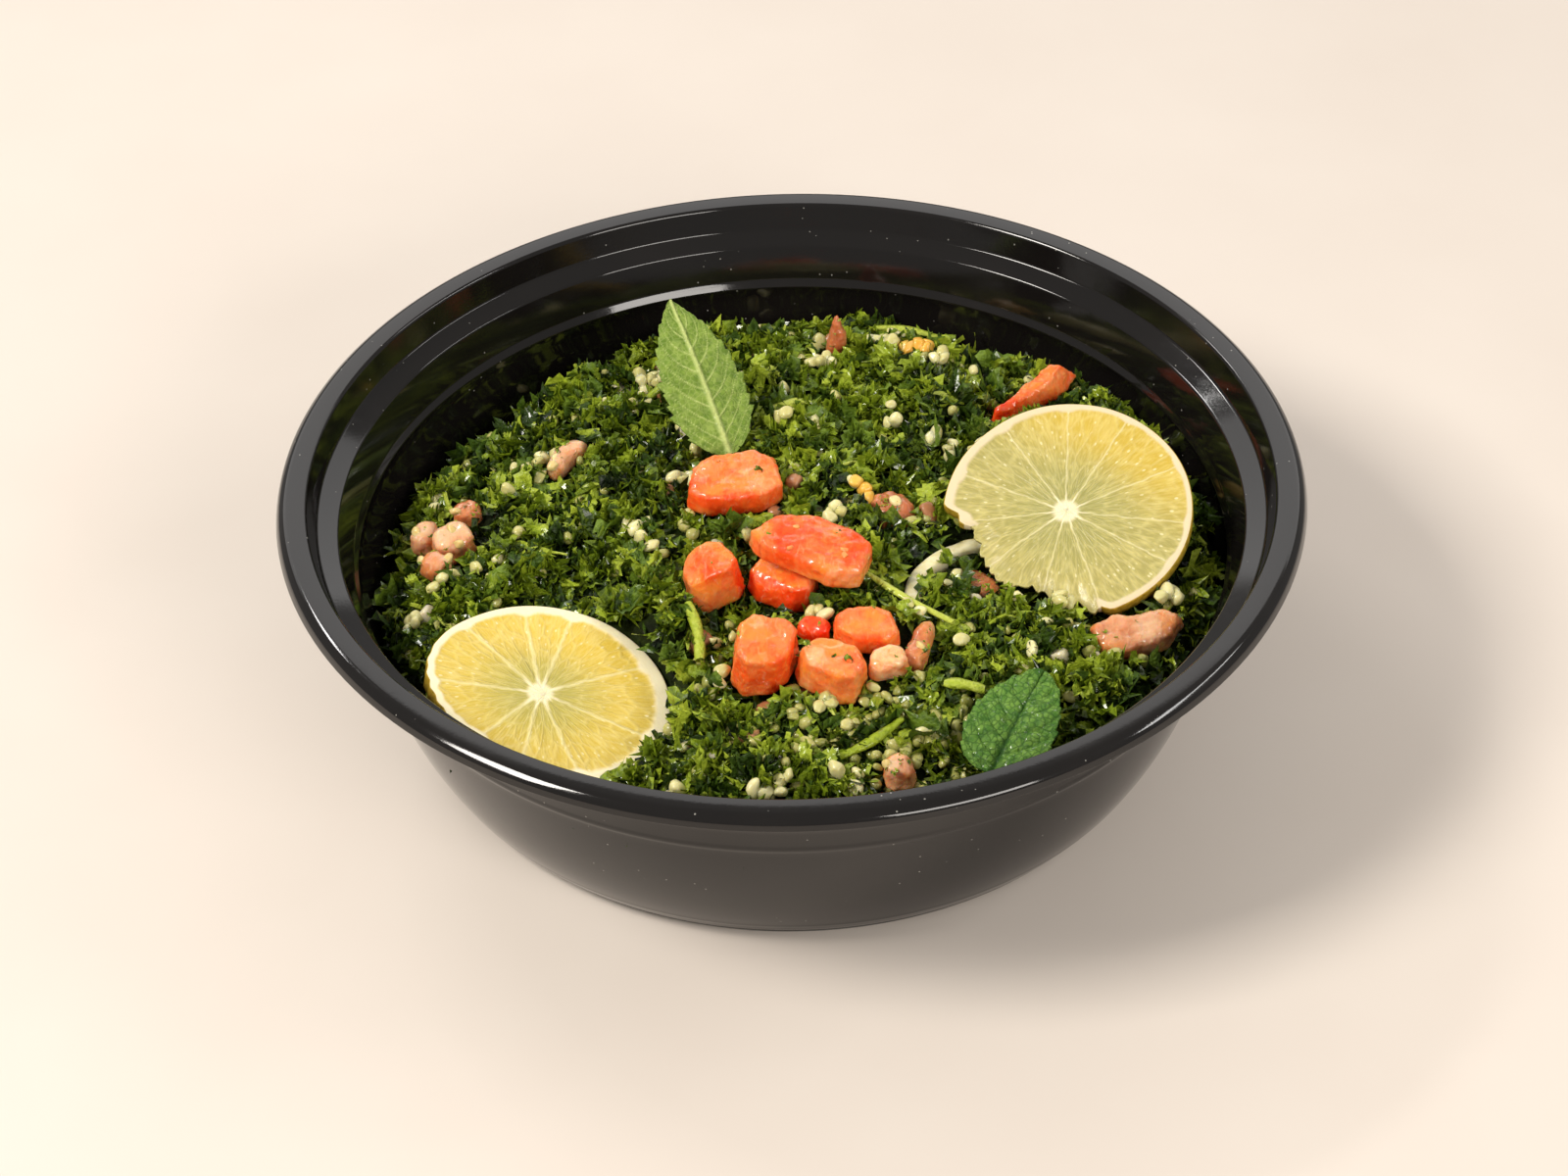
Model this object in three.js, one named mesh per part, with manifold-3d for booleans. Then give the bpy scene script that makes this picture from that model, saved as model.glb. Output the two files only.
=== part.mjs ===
// Tabbouleh salad in its round black takeaway bowl.
// Millimetres, +Z up. The origin is the centre of the bowl's base, on the surface it stands on.

import * as THREE from 'three';
import { mergeVertices } from 'three/addons/utils/BufferGeometryUtils.js';
import Module from 'manifold-3d';

// ---------------------------------------------------------------- bowl
const BOWL_HEIGHT = 49.7;
const RIM_RADIUS = 92;
const BOWL_SEGMENTS = 56;
const WALL = 1.3;

const FOOT_RADIUS = 66.5;
const FOOT_RING_WIDTH = 6;
const FOOT_RECESS = 0.8;

const RIM_WIDTH = 5.6;
const RIM_EDGE = 0.6;
const LIP_DROP = 2.4;
const LIP_THICKNESS = 1.4;

// Two ledges inside the rim carry the lid: each has an outer and an inner edge.
const UPPER_LEDGE = { outer: 85, inner: 81.3, outerZ: BOWL_HEIGHT - 5.1, innerZ: BOWL_HEIGHT - 6.6 };
const LOWER_LEDGE = { outer: 79.1, inner: 78.4, outerZ: BOWL_HEIGHT - 12.9, innerZ: BOWL_HEIGHT - 14.3 };

// The outer wall is one curve from the foot to the underside of the ledges.
const WALL_CURVE = new THREE.QuadraticBezierCurve(
  new THREE.Vector2(FOOT_RADIUS, 0),
  new THREE.Vector2(74.2, 7.7),
  new THREE.Vector2(80, LOWER_LEDGE.innerZ - 1.2),
);
const WALL_STEPS = 7;

// ---------------------------------------------------------------- salad
const GAP = 0.35;
const HEAP_TOP = 38.2;
const HEAP_EDGE = 30.5;
const HEAP_EDGE_SLANT = 4.5;
const HEAP_HIGH_SIDE = THREE.MathUtils.degToRad(-30);
const HEAP_ROUNDING = 2.4;
const HEAP_TOP_RINGS = 9;
const HEAP_WALL_RINGS = 5;
const HEAP_FLOOR_CORNER = 2;
const HEAP_LUMPS = [
  { height: 0.9, length: 31, heading: 20, shift: 0.4 },
  { height: 0.8, length: 23, heading: 95, shift: 2.1 },
  { height: 0.7, length: 17, heading: -40, shift: 1.2 },
  { height: 0.5, length: 13, heading: 62, shift: 4.4 },
];

// ---------------------------------------------------------------- lemon
const SLICE_THICKNESS = 3.8;
const SLICE_SEGMENTS = 36;
const SLICE_EDGE = 0.5;
const SLICE_CLEARANCE_ABOVE = 24;
const FRUIT_SEGMENTS = 9;
const TEAR_RAGGEDNESS = 0.15;
const RIND_WIDTH = 3;
const RIND_SEGMENTS = 7;

const LEMON_LEFT = {
  radius: 22, x: -43.4, y: -42.8, z: 35.4, tiltX: 4, tiltY: 11,
  pressedSide: -132, pressedBy: 5, pressedSpan: 85,
};
const LEMON_RIGHT = {
  radius: 22.3, x: 49.2, y: -6.4, z: 44.4, tiltX: 21, tiltY: -6,
  tornSide: -132, tornBy: 5, tornSpan: 56,
};
const LEMON_RIND = { radius: 19.5, x: 39, y: -21.4, z: 37.8, tiltX: -5, tiltY: 0, from: 100, to: 184 };

// ---------------------------------------------------------------- mint
const LEAF_ROWS = 10;
const LEAF_COLUMNS = 4;
const LEAF_BASE_SHARE = 0.5;
const LEAF_TIP_SHARE = 0.82;
const LEAF_END_WIDTH = 0.5;
const LEAF_CLEARANCE_ABOVE = 6;

const MINT_BACK = {
  length: 31, width: 15.2, thickness: 0.8, arch: 1.2, fold: -0.12,
  x: -11.6, y: 19.3, z: 40.6, turn: 22.5, incline: 31, roll: 4,
};
const MINT_FRONT = {
  length: 23, width: 13.8, thickness: 0.8, arch: 1.6, fold: 0.1,
  x: 32, y: -68, z: 36, turn: -27, incline: 13, roll: 4,
};

// ---------------------------------------------------------------- tomato
const DICE_CORNER = 0.22;
const DICE_EDGE = 0.7;

// Each piece: middle (x, y, z), size (along, across, high), turn and tilts in degrees.
// taper narrows the far side, skew slides it along, draft narrows the top.
// open is how far the heap stays open above a piece that lies below its surface.
const DICE = {
  tomato_dice_1: {
    at: [-10.2, 6.2, 42.6], size: [16.4, 12, 5],
    turn: 7, tiltX: 6, taper: 0.1, skew: 0.1, draft: 0.04,
  },
  tomato_dice_2: {
    at: [-14.6, -19, 41.4], size: [9.2, 8.4, 9.2],
    turn: 28, tiltX: 8, tiltY: -6, taper: 0.12, draft: 0.1,
  },
  tomato_dice_3: {
    at: [3.9, -17.4, 46], size: [19.8, 12, 4.6],
    turn: -24, tiltX: 5, tiltY: 7, taper: 0.18, skew: 0.2, draft: 0.05,
  },
  tomato_dice_4: {
    at: [-1.6, -18.4, 39.4], size: [11.2, 9.2, 6],
    turn: -24, tiltX: 4, tiltY: 4, taper: 0.1, draft: 0.04,
  },
  tomato_dice_5: {
    at: [-5.4, -40.8, 41.2], size: [10, 11.2, 9.6],
    turn: -4, tiltX: 10, tiltY: 4, taper: -0.1, skew: 0.1, draft: 0.12,
  },
  tomato_dice_6: {
    at: [6.2, -44.2, 40.8], size: [11, 8, 7.6],
    turn: -30, tiltX: 8, tiltY: 6, taper: 0.12, skew: 0.1, draft: 0.1,
  },
  tomato_dice_7: {
    at: [12.2, -34.4, 41], size: [10.4, 7.6, 4.8],
    turn: 2, tiltX: 9, taper: 0.08, skew: -0.15, draft: 0.08,
  },
  tomato_dice_8: {
    at: [15.6, -42.6, 40.4], size: [6.4, 4.8, 4.4],
    turn: 20, tiltX: 12, taper: 0.15, draft: 0.1,
  },
  tomato_dice_9: {
    at: [3.4, -32.6, 40], size: [5.4, 4, 3.4],
    turn: -18, tiltX: 5, taper: 0.1, draft: 0.1,
  },
  tomato_pulp: {
    at: [21.4, -36.6, 38.8], size: [3.4, 9.4, 3],
    turn: -12, tiltX: 8, taper: 0.3, skew: 0.1, draft: 0.2,
  },
  tomato_wedge: {
    at: [45.6, 38, 38], size: [16.6, 5.4, 5],
    turn: 34, tiltX: 14, tiltY: -8, taper: 0.3, skew: 0.1, draft: 0.35,
  },
  tomato_spike: {
    at: [9.6, 58.4, 36.6], size: [2.8, 2.6, 12.6],
    turn: 20, tiltX: -8, tiltY: 12, taper: 0.1, draft: 0.6,
  },
  tomato_left_1: {
    at: [-61.8, 2.2, 33.4], size: [6.8, 6.2, 5],
    turn: 25, tiltX: 8, taper: 0.1, draft: 0.12,
  },
  tomato_left_2: {
    at: [-67.2, 6.2, 31.6], size: [4, 5, 4],
    turn: -12, tiltX: 4, taper: 0.1, draft: 0.12,
  },
  tomato_left_3: {
    at: [-64.6, -3.6, 32.6], size: [4.4, 5, 3.8],
    turn: 40, tiltX: 9, taper: 0.15, draft: 0.1,
  },
  tomato_left_4: {
    at: [-59.8, 12, 32.6], size: [4.8, 3.8, 3.4],
    turn: 10, tiltX: 6, taper: 0.1, draft: 0.14,
  },
  tomato_strip_back: {
    at: [-41.8, 24.6, 35.2], size: [8.2, 3.4, 3.4],
    turn: 52, tiltX: 9, taper: 0.2, draft: 0.15,
  },
  tomato_strip_centre: {
    at: [18.4, 2.4, 38.2], size: [7.6, 6, 3.2],
    turn: -62, tiltX: 8, taper: 0.15, draft: 0.1,
  },
  tomato_strip_right: {
    at: [59.4, -32.8, 36.6], size: [14.4, 7, 4.6],
    turn: 12, tiltX: 12, tiltY: 2, taper: -0.25, skew: 0.3, draft: 0.08,
  },
  tomato_under_lemon: {
    at: [33, -14.8, 33.8], size: [8, 5, 3],
    turn: -40, tiltX: 8, taper: 0.1, draft: 0.08, open: 6,
  },
  tomato_front: {
    at: [16.6, -65.4, 35.8], size: [4.4, 5, 4.4],
    turn: 14, tiltX: 6, taper: 0.1, draft: 0.15,
  },
};

// ---------------------------------------------------------------- materials
const BLACK_PLASTIC = { color: 0x0b0a0a, roughness: 0.22, metalness: 0 };
const CHOPPED_HERBS = { color: 0x2f5a1e, roughness: 0.6, metalness: 0 };
const LEMON_FLESH = { color: 0xe9d96a, roughness: 0.35, metalness: 0 };
const LEMON_PITH = { color: 0xefe3b0, roughness: 0.5, metalness: 0 };
const MINT_UNDERSIDE = { color: 0x6f9c4c, roughness: 0.55, metalness: 0 };
const MINT_UPPER_SIDE = { color: 0x245f22, roughness: 0.45, metalness: 0 };
const TOMATO_FLESH = { color: 0xe8663f, roughness: 0.3, metalness: 0 };

const wasm = await Module();
wasm.setup();

const { degToRad, lerp, radToDeg, smoothstep } = THREE.MathUtils;

// A closed geometry as a manifold solid, in the frame that its matrix gives.
function toSolid(geometry, matrix = new THREE.Matrix4()) {
  const bare = geometry.clone().applyMatrix4(matrix);
  bare.deleteAttribute('normal');
  bare.deleteAttribute('uv');
  const merged = mergeVertices(bare, 1e-4);
  return new wasm.Manifold(new wasm.Mesh({
    numProp: 3,
    vertProperties: new Float32Array(merged.attributes.position.array),
    triVerts: new Uint32Array(merged.index.array),
  }));
}

function toGeometry(solid) {
  const { vertProperties, triVerts } = solid.getMesh();
  const geometry = new THREE.BufferGeometry();
  geometry.setAttribute('position', new THREE.BufferAttribute(vertProperties, 3));
  geometry.setIndex(new THREE.BufferAttribute(triVerts, 1));
  geometry.computeVertexNormals();
  return geometry;
}

// Moves every corner of a geometry to where the function says.
function reshape(geometry, move) {
  const corners = geometry.attributes.position;
  const point = new THREE.Vector3();
  for (let i = 0; i < corners.count; i += 1) {
    point.fromBufferAttribute(corners, i);
    move(point);
    corners.setXYZ(i, point.x, point.y, point.z);
  }
  geometry.computeVertexNormals();
  return geometry;
}

// A profile of (radius, height) points turned about the Z axis.
function turned(profile, segments) {
  return new THREE.LatheGeometry(profile, segments).rotateX(Math.PI / 2);
}

function makeMesh(name, geometry, look) {
  const mesh = new THREE.Mesh(geometry, new THREE.MeshStandardMaterial(look));
  mesh.name = name;
  return mesh;
}

// ---------------------------------------------------------------- bowl shape
const outerWall = WALL_CURVE.getPoints(WALL_STEPS);

// The inner wall follows the outer one, a wall thickness inside it.
function insideOfWall(distance) {
  return outerWall.map((point, i) => {
    const along = WALL_CURVE.getTangent(i / WALL_STEPS);
    return new THREE.Vector2(point.x - along.y * distance, point.y + along.x * distance);
  });
}

const innerWall = insideOfWall(WALL);
const BOWL_FLOOR = FOOT_RECESS + WALL;

// Radius of the bowl's inside at a height between its floor and the lower ledge.
function insideRadius(height) {
  const points = [...innerWall, new THREE.Vector2(LOWER_LEDGE.inner, LOWER_LEDGE.innerZ)];
  const above = points.findIndex((point) => point.y >= height);
  if (above < 0) return LOWER_LEDGE.inner;
  if (above === 0) return points[0].x - (points[0].y - height);
  const [low, high] = [points[above - 1], points[above]];
  return lerp(low.x, high.x, (height - low.y) / (high.y - low.y));
}

function bowlGeometry() {
  const at = (radius, height) => new THREE.Vector2(radius, height);
  const rimInner = RIM_RADIUS - RIM_WIDTH;
  const lipInner = RIM_RADIUS - LIP_THICKNESS;
  const lipBottom = BOWL_HEIGHT - LIP_DROP;
  const underside = [
    at(0, FOOT_RECESS),
    at(FOOT_RADIUS - FOOT_RING_WIDTH, FOOT_RECESS),
    at(FOOT_RADIUS - FOOT_RING_WIDTH + FOOT_RECESS, 0),
  ];
  const ledgesFromBelow = [
    at(LOWER_LEDGE.outer + WALL, LOWER_LEDGE.outerZ - 0.3),
    at(UPPER_LEDGE.inner + WALL, UPPER_LEDGE.innerZ - WALL),
    at(UPPER_LEDGE.outer + WALL, UPPER_LEDGE.outerZ - WALL),
    at(rimInner + WALL, BOWL_HEIGHT - WALL),
  ];
  const rim = [
    at(lipInner, BOWL_HEIGHT - WALL),
    at(lipInner, lipBottom),
    at(RIM_RADIUS, lipBottom),
    at(RIM_RADIUS - 0.5, BOWL_HEIGHT - 0.9),
    at(RIM_RADIUS - 2, BOWL_HEIGHT),
    at(rimInner + RIM_EDGE, BOWL_HEIGHT),
    at(rimInner, BOWL_HEIGHT - RIM_EDGE),
  ];
  const ledges = [
    at(UPPER_LEDGE.outer, UPPER_LEDGE.outerZ),
    at(UPPER_LEDGE.inner, UPPER_LEDGE.innerZ),
    at(LOWER_LEDGE.outer, LOWER_LEDGE.outerZ),
    at(LOWER_LEDGE.inner, LOWER_LEDGE.innerZ),
  ];
  const inside = innerWall.filter((point) => point.y > BOWL_FLOOR + 0.5).reverse();
  const floor = [at(insideRadius(BOWL_FLOOR + 0.5) - 1.2, BOWL_FLOOR), at(0, BOWL_FLOOR)];
  const profile = [...underside, ...outerWall, ...ledgesFromBelow, ...rim, ...ledges, ...inside, ...floor];
  return turned(profile, BOWL_SEGMENTS);
}

// ---------------------------------------------------------------- salad shape
function heapEdgeHeight(azimuth) {
  return HEAP_EDGE + HEAP_EDGE_SLANT * Math.cos(azimuth - HEAP_HIGH_SIDE);
}

function lumps(x, y) {
  return HEAP_LUMPS.reduce((sum, { height, length, heading, shift }) => {
    const along = x * Math.cos(degToRad(heading)) + y * Math.sin(degToRad(heading));
    return sum + height * Math.sin((2 * Math.PI * along) / length + shift);
  }, 0);
}

function heapSurface(azimuth, share) {
  const edge = heapEdgeHeight(azimuth);
  const radius = share * (insideRadius(edge) - GAP);
  const [x, y] = [radius * Math.cos(azimuth), radius * Math.sin(azimuth)];
  const dome = lerp(HEAP_TOP, edge, share ** HEAP_ROUNDING);
  return new THREE.Vector3(x, y, dome + lumps(x, y));
}

// Rings of the heap: from the floor up the wall, then over the top to the middle.
// The lathe's radius and height carry the ring's kind, and reshape puts it in its place.
function heapGeometry() {
  const bottom = BOWL_FLOOR + GAP;
  const profile = [new THREE.Vector2(0, 0)];
  for (let i = 0; i <= HEAP_WALL_RINGS; i += 1) {
    profile.push(new THREE.Vector2(1, i / HEAP_WALL_RINGS));
  }
  for (let i = HEAP_TOP_RINGS - 1; i >= 0; i -= 1) {
    profile.push(new THREE.Vector2(i / HEAP_TOP_RINGS, 2));
  }
  return reshape(turned(profile, BOWL_SEGMENTS), (point) => {
    const share = Math.hypot(point.x, point.y);
    const azimuth = Math.atan2(point.y, point.x);
    const onTop = point.z > 1.5;
    if (onTop) {
      point.copy(heapSurface(azimuth, share));
      return;
    }
    const rim = heapSurface(azimuth, 1).z;
    const height = lerp(bottom, rim, point.z);
    const corner = point.z < 0.01 ? HEAP_FLOOR_CORNER : 0;
    const radius = share * (insideRadius(height) - GAP - corner);
    point.set(radius * Math.cos(azimuth), radius * Math.sin(azimuth), height);
  });
}

// ---------------------------------------------------------------- lemon shape
// Degrees between two directions, from 0 to 180.
function degreesApart(one, other) {
  return Math.abs(((one - other + 540) % 360) - 180);
}

// How far a slice's outline lies inside its circle where its side is pressed flat.
function pressedDepth(azimuth, { pressedSide = 0, pressedBy = 0, pressedSpan = 1 }) {
  return pressedBy * (1 - smoothstep(degreesApart(azimuth, pressedSide), 0, pressedSpan));
}

// The same where it is torn: the edge steps in and out between the segments of the fruit.
function tornDepth(azimuth, { tornSide = 0, tornBy = 0, tornSpan = 1 }) {
  const inside = 1 - smoothstep(degreesApart(azimuth, tornSide), tornSpan * 0.8, tornSpan);
  const ragged = 1 - TEAR_RAGGEDNESS * (1 - Math.cos(degToRad(azimuth * FRUIT_SEGMENTS)));
  return tornBy * inside * ragged;
}

function sliceProfile(radius, thickness, grow) {
  const [low, high] = [-thickness - grow, grow];
  return [
    new THREE.Vector2(0, low),
    new THREE.Vector2(radius + grow - SLICE_EDGE, low),
    new THREE.Vector2(radius + grow, low + SLICE_EDGE),
    new THREE.Vector2(radius + grow, high - SLICE_EDGE),
    new THREE.Vector2(radius + grow - SLICE_EDGE, high),
    new THREE.Vector2(0, high),
  ];
}

// A slice lies with its upper face at height 0. Its outline is pressed flat or torn on one side.
function sliceGeometry(slice, grow = 0) {
  const profile = sliceProfile(slice.radius, SLICE_THICKNESS, grow);
  return reshape(turned(profile, SLICE_SEGMENTS), (point) => {
    const azimuth = radToDeg(Math.atan2(point.y, point.x));
    const scale = 1 - (pressedDepth(azimuth, slice) + tornDepth(azimuth, slice)) / slice.radius;
    point.x *= scale;
    point.y *= scale;
  });
}

// The torn-off rind is a stretch of the slice's ring.
function rindGeometry({ radius, from, to }, grow = 0) {
  const shape = new THREE.Shape();
  const extra = (grow / radius) * 1.2;
  shape.absarc(0, 0, radius + grow, degToRad(from) - extra, degToRad(to) + extra, false);
  shape.absarc(0, 0, radius - RIND_WIDTH - grow, degToRad(to) + extra, degToRad(from) - extra, true);
  shape.closePath();
  const depth = SLICE_THICKNESS - 2 * SLICE_EDGE + 2 * grow;
  return new THREE.ExtrudeGeometry(shape, {
    depth,
    curveSegments: RIND_SEGMENTS,
    bevelThickness: SLICE_EDGE,
    bevelSize: SLICE_EDGE,
    bevelOffset: -SLICE_EDGE,
    bevelSegments: 1,
  }).translate(0, 0, -depth - SLICE_EDGE + grow);
}

// ---------------------------------------------------------------- mint shape
const LEAF_WIDEST = LEAF_BASE_SHARE / (LEAF_BASE_SHARE + LEAF_TIP_SHARE);
const leafCurve = (share) => share ** LEAF_BASE_SHARE * (1 - share) ** LEAF_TIP_SHARE;

// A leaf starts at its stalk and runs along Y. It is folded along its midrib and arched.
function leafGeometry({ length, width, thickness, arch, fold }, grow = 0, above = 0) {
  const blank = new THREE.BoxGeometry(2, 1, 1, LEAF_COLUMNS, LEAF_ROWS, 1);
  return reshape(blank, (point) => {
    const along = point.y + 0.5;
    const halfWidth = (width / 2) * (leafCurve(along) / leafCurve(LEAF_WIDEST)) + LEAF_END_WIDTH + grow;
    const across = point.x * halfWidth;
    const surface = arch * Math.sin(Math.PI * along) + fold * Math.abs(across);
    const skin = point.z > 0 ? thickness / 2 + grow + above : -thickness / 2 - grow;
    point.set(across, length * along + 2 * grow * point.y, surface + skin);
  });
}

// ---------------------------------------------------------------- tomato shape
function diceGeometry({ size, taper = 0, skew = 0, draft = 0 }, grow = 0) {
  const [length, width, height] = size.map((side) => side + 2 * grow);
  const corners = [[-1, -1], [1, -1], [1, 1], [-1, 1]].map(([i, j]) => new THREE.Vector2(
    (i * length * (1 - taper * j)) / 2 + skew * width * j * 0.5,
    (j * width * (1 + 0.5 * taper * i)) / 2,
  ));
  const shape = new THREE.Shape();
  corners.forEach((corner, i) => {
    const before = corners[(i + 3) % 4];
    const after = corners[(i + 1) % 4];
    const into = corner.clone().lerp(before, DICE_CORNER);
    const out = corner.clone().lerp(after, DICE_CORNER);
    if (i === 0) shape.moveTo(into.x, into.y);
    else shape.lineTo(into.x, into.y);
    shape.lineTo(out.x, out.y);
  });
  shape.closePath();
  const blank = new THREE.ExtrudeGeometry(shape, {
    depth: height - 2 * DICE_EDGE,
    bevelThickness: DICE_EDGE,
    bevelSize: DICE_EDGE,
    bevelOffset: -DICE_EDGE,
    bevelSegments: 1,
  }).translate(0, 0, DICE_EDGE - height / 2);
  return reshape(blank, (point) => {
    const narrowed = 1 - (draft * point.z) / height;
    point.x *= narrowed;
    point.y *= narrowed;
  });
}

// ---------------------------------------------------------------- the pieces in their places
function place(mesh, x, y, z, tiltX = 0, tiltY = 0, turn = 0) {
  mesh.position.set(x, y, z);
  mesh.rotation.set(degToRad(tiltX), degToRad(tiltY), degToRad(turn));
  mesh.updateMatrixWorld();
  return mesh;
}

function placeLeaf(mesh, { x, y, z, turn, incline, roll }) {
  mesh.rotation.order = 'ZXY';
  return place(mesh, x, y, z, incline, roll, turn);
}

const salad = new THREE.Group();
const hollows = [];

// Adds a piece, and the hollow with clearance that it leaves in the heap.
function addPiece(mesh, hollow) {
  salad.add(mesh);
  hollows.push(toSolid(hollow, mesh.matrixWorld));
}

function addSlice(name, slice) {
  const { x, y, z, tiltX, tiltY } = slice;
  const mesh = place(makeMesh(name, sliceGeometry(slice), LEMON_FLESH), x, y, z, tiltX, tiltY);
  const hollow = reshape(sliceGeometry(slice, GAP), (point) => {
    if (point.z > -SLICE_THICKNESS / 2) point.z += SLICE_CLEARANCE_ABOVE;
  });
  addPiece(mesh, hollow);
}

function addRind(name, rind) {
  const { x, y, z, tiltX, tiltY } = rind;
  const mesh = place(makeMesh(name, rindGeometry(rind), LEMON_PITH), x, y, z, tiltX, tiltY);
  addPiece(mesh, rindGeometry(rind, GAP));
}

function addLeaf(name, leaf, look) {
  const mesh = placeLeaf(makeMesh(name, leafGeometry(leaf), look), leaf);
  addPiece(mesh, leafGeometry(leaf, GAP, LEAF_CLEARANCE_ABOVE));
}

function addDice(name, dice) {
  const { at, tiltX, tiltY, turn, open = 0 } = dice;
  const mesh = place(makeMesh(name, diceGeometry(dice), TOMATO_FLESH), ...at, tiltX, tiltY, turn);
  const hollow = reshape(diceGeometry(dice, GAP), (point) => {
    if (point.z > 0) point.z += open;
  });
  addPiece(mesh, hollow);
}

addSlice('lemon_left', LEMON_LEFT);
addSlice('lemon_right', LEMON_RIGHT);
addRind('lemon_rind', LEMON_RIND);
addLeaf('mint_back', MINT_BACK, MINT_UNDERSIDE);
addLeaf('mint_front', MINT_FRONT, MINT_UPPER_SIDE);
Object.entries(DICE).forEach(([name, dice]) => addDice(name, dice));

// The heap fills the bowl and gives way to whatever lies on it or is pressed into it.
const cutHeap = toSolid(heapGeometry()).subtract(wasm.Manifold.union(hollows));
const [largest] = cutHeap.decompose().sort((a, b) => b.volume() - a.volume());
salad.add(makeMesh('salad_heap', toGeometry(largest), CHOPPED_HERBS));
salad.add(makeMesh('bowl', bowlGeometry(), BLACK_PLASTIC));

export default salad;
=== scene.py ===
import itertools
import math

import bmesh
import bpy
import numpy as np
from mathutils import Matrix, Vector
from mathutils.bvhtree import BVHTree


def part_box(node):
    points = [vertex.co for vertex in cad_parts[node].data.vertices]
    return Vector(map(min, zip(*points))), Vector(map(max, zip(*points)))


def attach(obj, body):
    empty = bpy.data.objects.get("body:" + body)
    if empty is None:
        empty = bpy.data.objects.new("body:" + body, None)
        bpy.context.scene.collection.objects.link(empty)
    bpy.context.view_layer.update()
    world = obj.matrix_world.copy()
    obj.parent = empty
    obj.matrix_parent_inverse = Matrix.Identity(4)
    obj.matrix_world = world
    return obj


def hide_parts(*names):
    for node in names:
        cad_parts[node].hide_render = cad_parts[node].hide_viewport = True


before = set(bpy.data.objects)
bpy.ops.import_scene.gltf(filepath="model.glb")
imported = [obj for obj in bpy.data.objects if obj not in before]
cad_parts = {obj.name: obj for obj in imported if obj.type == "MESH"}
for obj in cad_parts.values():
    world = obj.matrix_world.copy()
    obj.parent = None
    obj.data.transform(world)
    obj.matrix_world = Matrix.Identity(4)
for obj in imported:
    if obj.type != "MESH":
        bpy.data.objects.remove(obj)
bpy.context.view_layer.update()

# Tabbouleh salad in its round black takeaway bowl. Metres, +Z up, the bowl's base centre at the origin.

MM = 0.001

# ------------------------------------------------------------------ places and sizes from the frame
BOWL_LOW, BOWL_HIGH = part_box("bowl")
RIM_RADIUS = BOWL_HIGH.x
BOWL_HEIGHT = BOWL_HIGH.z
TOMATO_NODES = sorted(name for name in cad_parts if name.startswith("tomato"))
TOPPING_NODES = sorted(set(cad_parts) - {"bowl", "salad_heap"})

# ------------------------------------------------------------------ bowl
BOWL_SEGMENTS = 200
WALL = 1.3 * MM
FOOT_RADIUS = 66.5 * MM
FOOT_RING_WIDTH = 6 * MM
FOOT_RECESS = 0.8 * MM
WALL_CURVE = ((66.5 * MM, 0), (74.2 * MM, 7.7 * MM), (80 * MM, 34.2 * MM))
WALL_STEPS = 30
RIM_WIDTH = 5.6 * MM
LIP_DROP = 2.5 * MM
LIP_THICKNESS = 1.4 * MM
UPPER_LEDGE = ((85.0 * MM, -5.1 * MM), (81.3 * MM, -6.4 * MM))
LOWER_LEDGE = ((79.2 * MM, -12.9 * MM), (78.3 * MM, -14.2 * MM))
# Fine beads round the outer wall: height above the base, half width and how far they stand out.
WALL_BEADS = (
    (1.9 * MM, 0.45 * MM, -0.22 * MM), (4.8 * MM, 0.5 * MM, 0.07 * MM),
    (31.4 * MM, 0.6 * MM, 0.16 * MM),
)

# ------------------------------------------------------------------ salad
CORE_DEPTH = 2.4 * MM
EDGE_FALL = 5.0 * MM
EDGE_FALL_WIDTH = 9.0 * MM
HEAP_CLEARANCE = 0.8 * MM
# The loose surface's lumps: how wide and how high, in millimetres.
HEAP_LUMPS = ((13, 1.6), (6.5, 1.9), (3.4, 1.1))

# ------------------------------------------------------------------ lemon slices
CORE_RADIUS = 1.9 * MM
SLICE_RINGS = 38
SLICE_SPOKES = 200

# ------------------------------------------------------------------ numbers and noise
LATTICE = np.random.default_rng(7).uniform(-1, 1, (64, 64, 64))


def smooth_noise(points, size, shift=0.0):
    """Smooth noise from -1 to 1 at an (n, 3) array of points, with bumps about size wide."""
    scaled = np.asarray(points) / size + shift
    cell = np.floor(scaled).astype(int)
    part = scaled - cell
    part = part * part * (3 - 2 * part)
    total = np.zeros(len(scaled))
    for corner in itertools.product((0, 1), repeat=3):
        weight = np.prod(np.where(corner, part, 1 - part), axis=1)
        total += weight * LATTICE[tuple(((cell + corner) % 64).T)]
    return total


def blend_in(value, low, high):
    """0 below low, 1 above high, and a smooth rise between them."""
    share = np.clip((value - low) / (high - low), 0, 1)
    return share * share * (3 - 2 * share)


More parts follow.
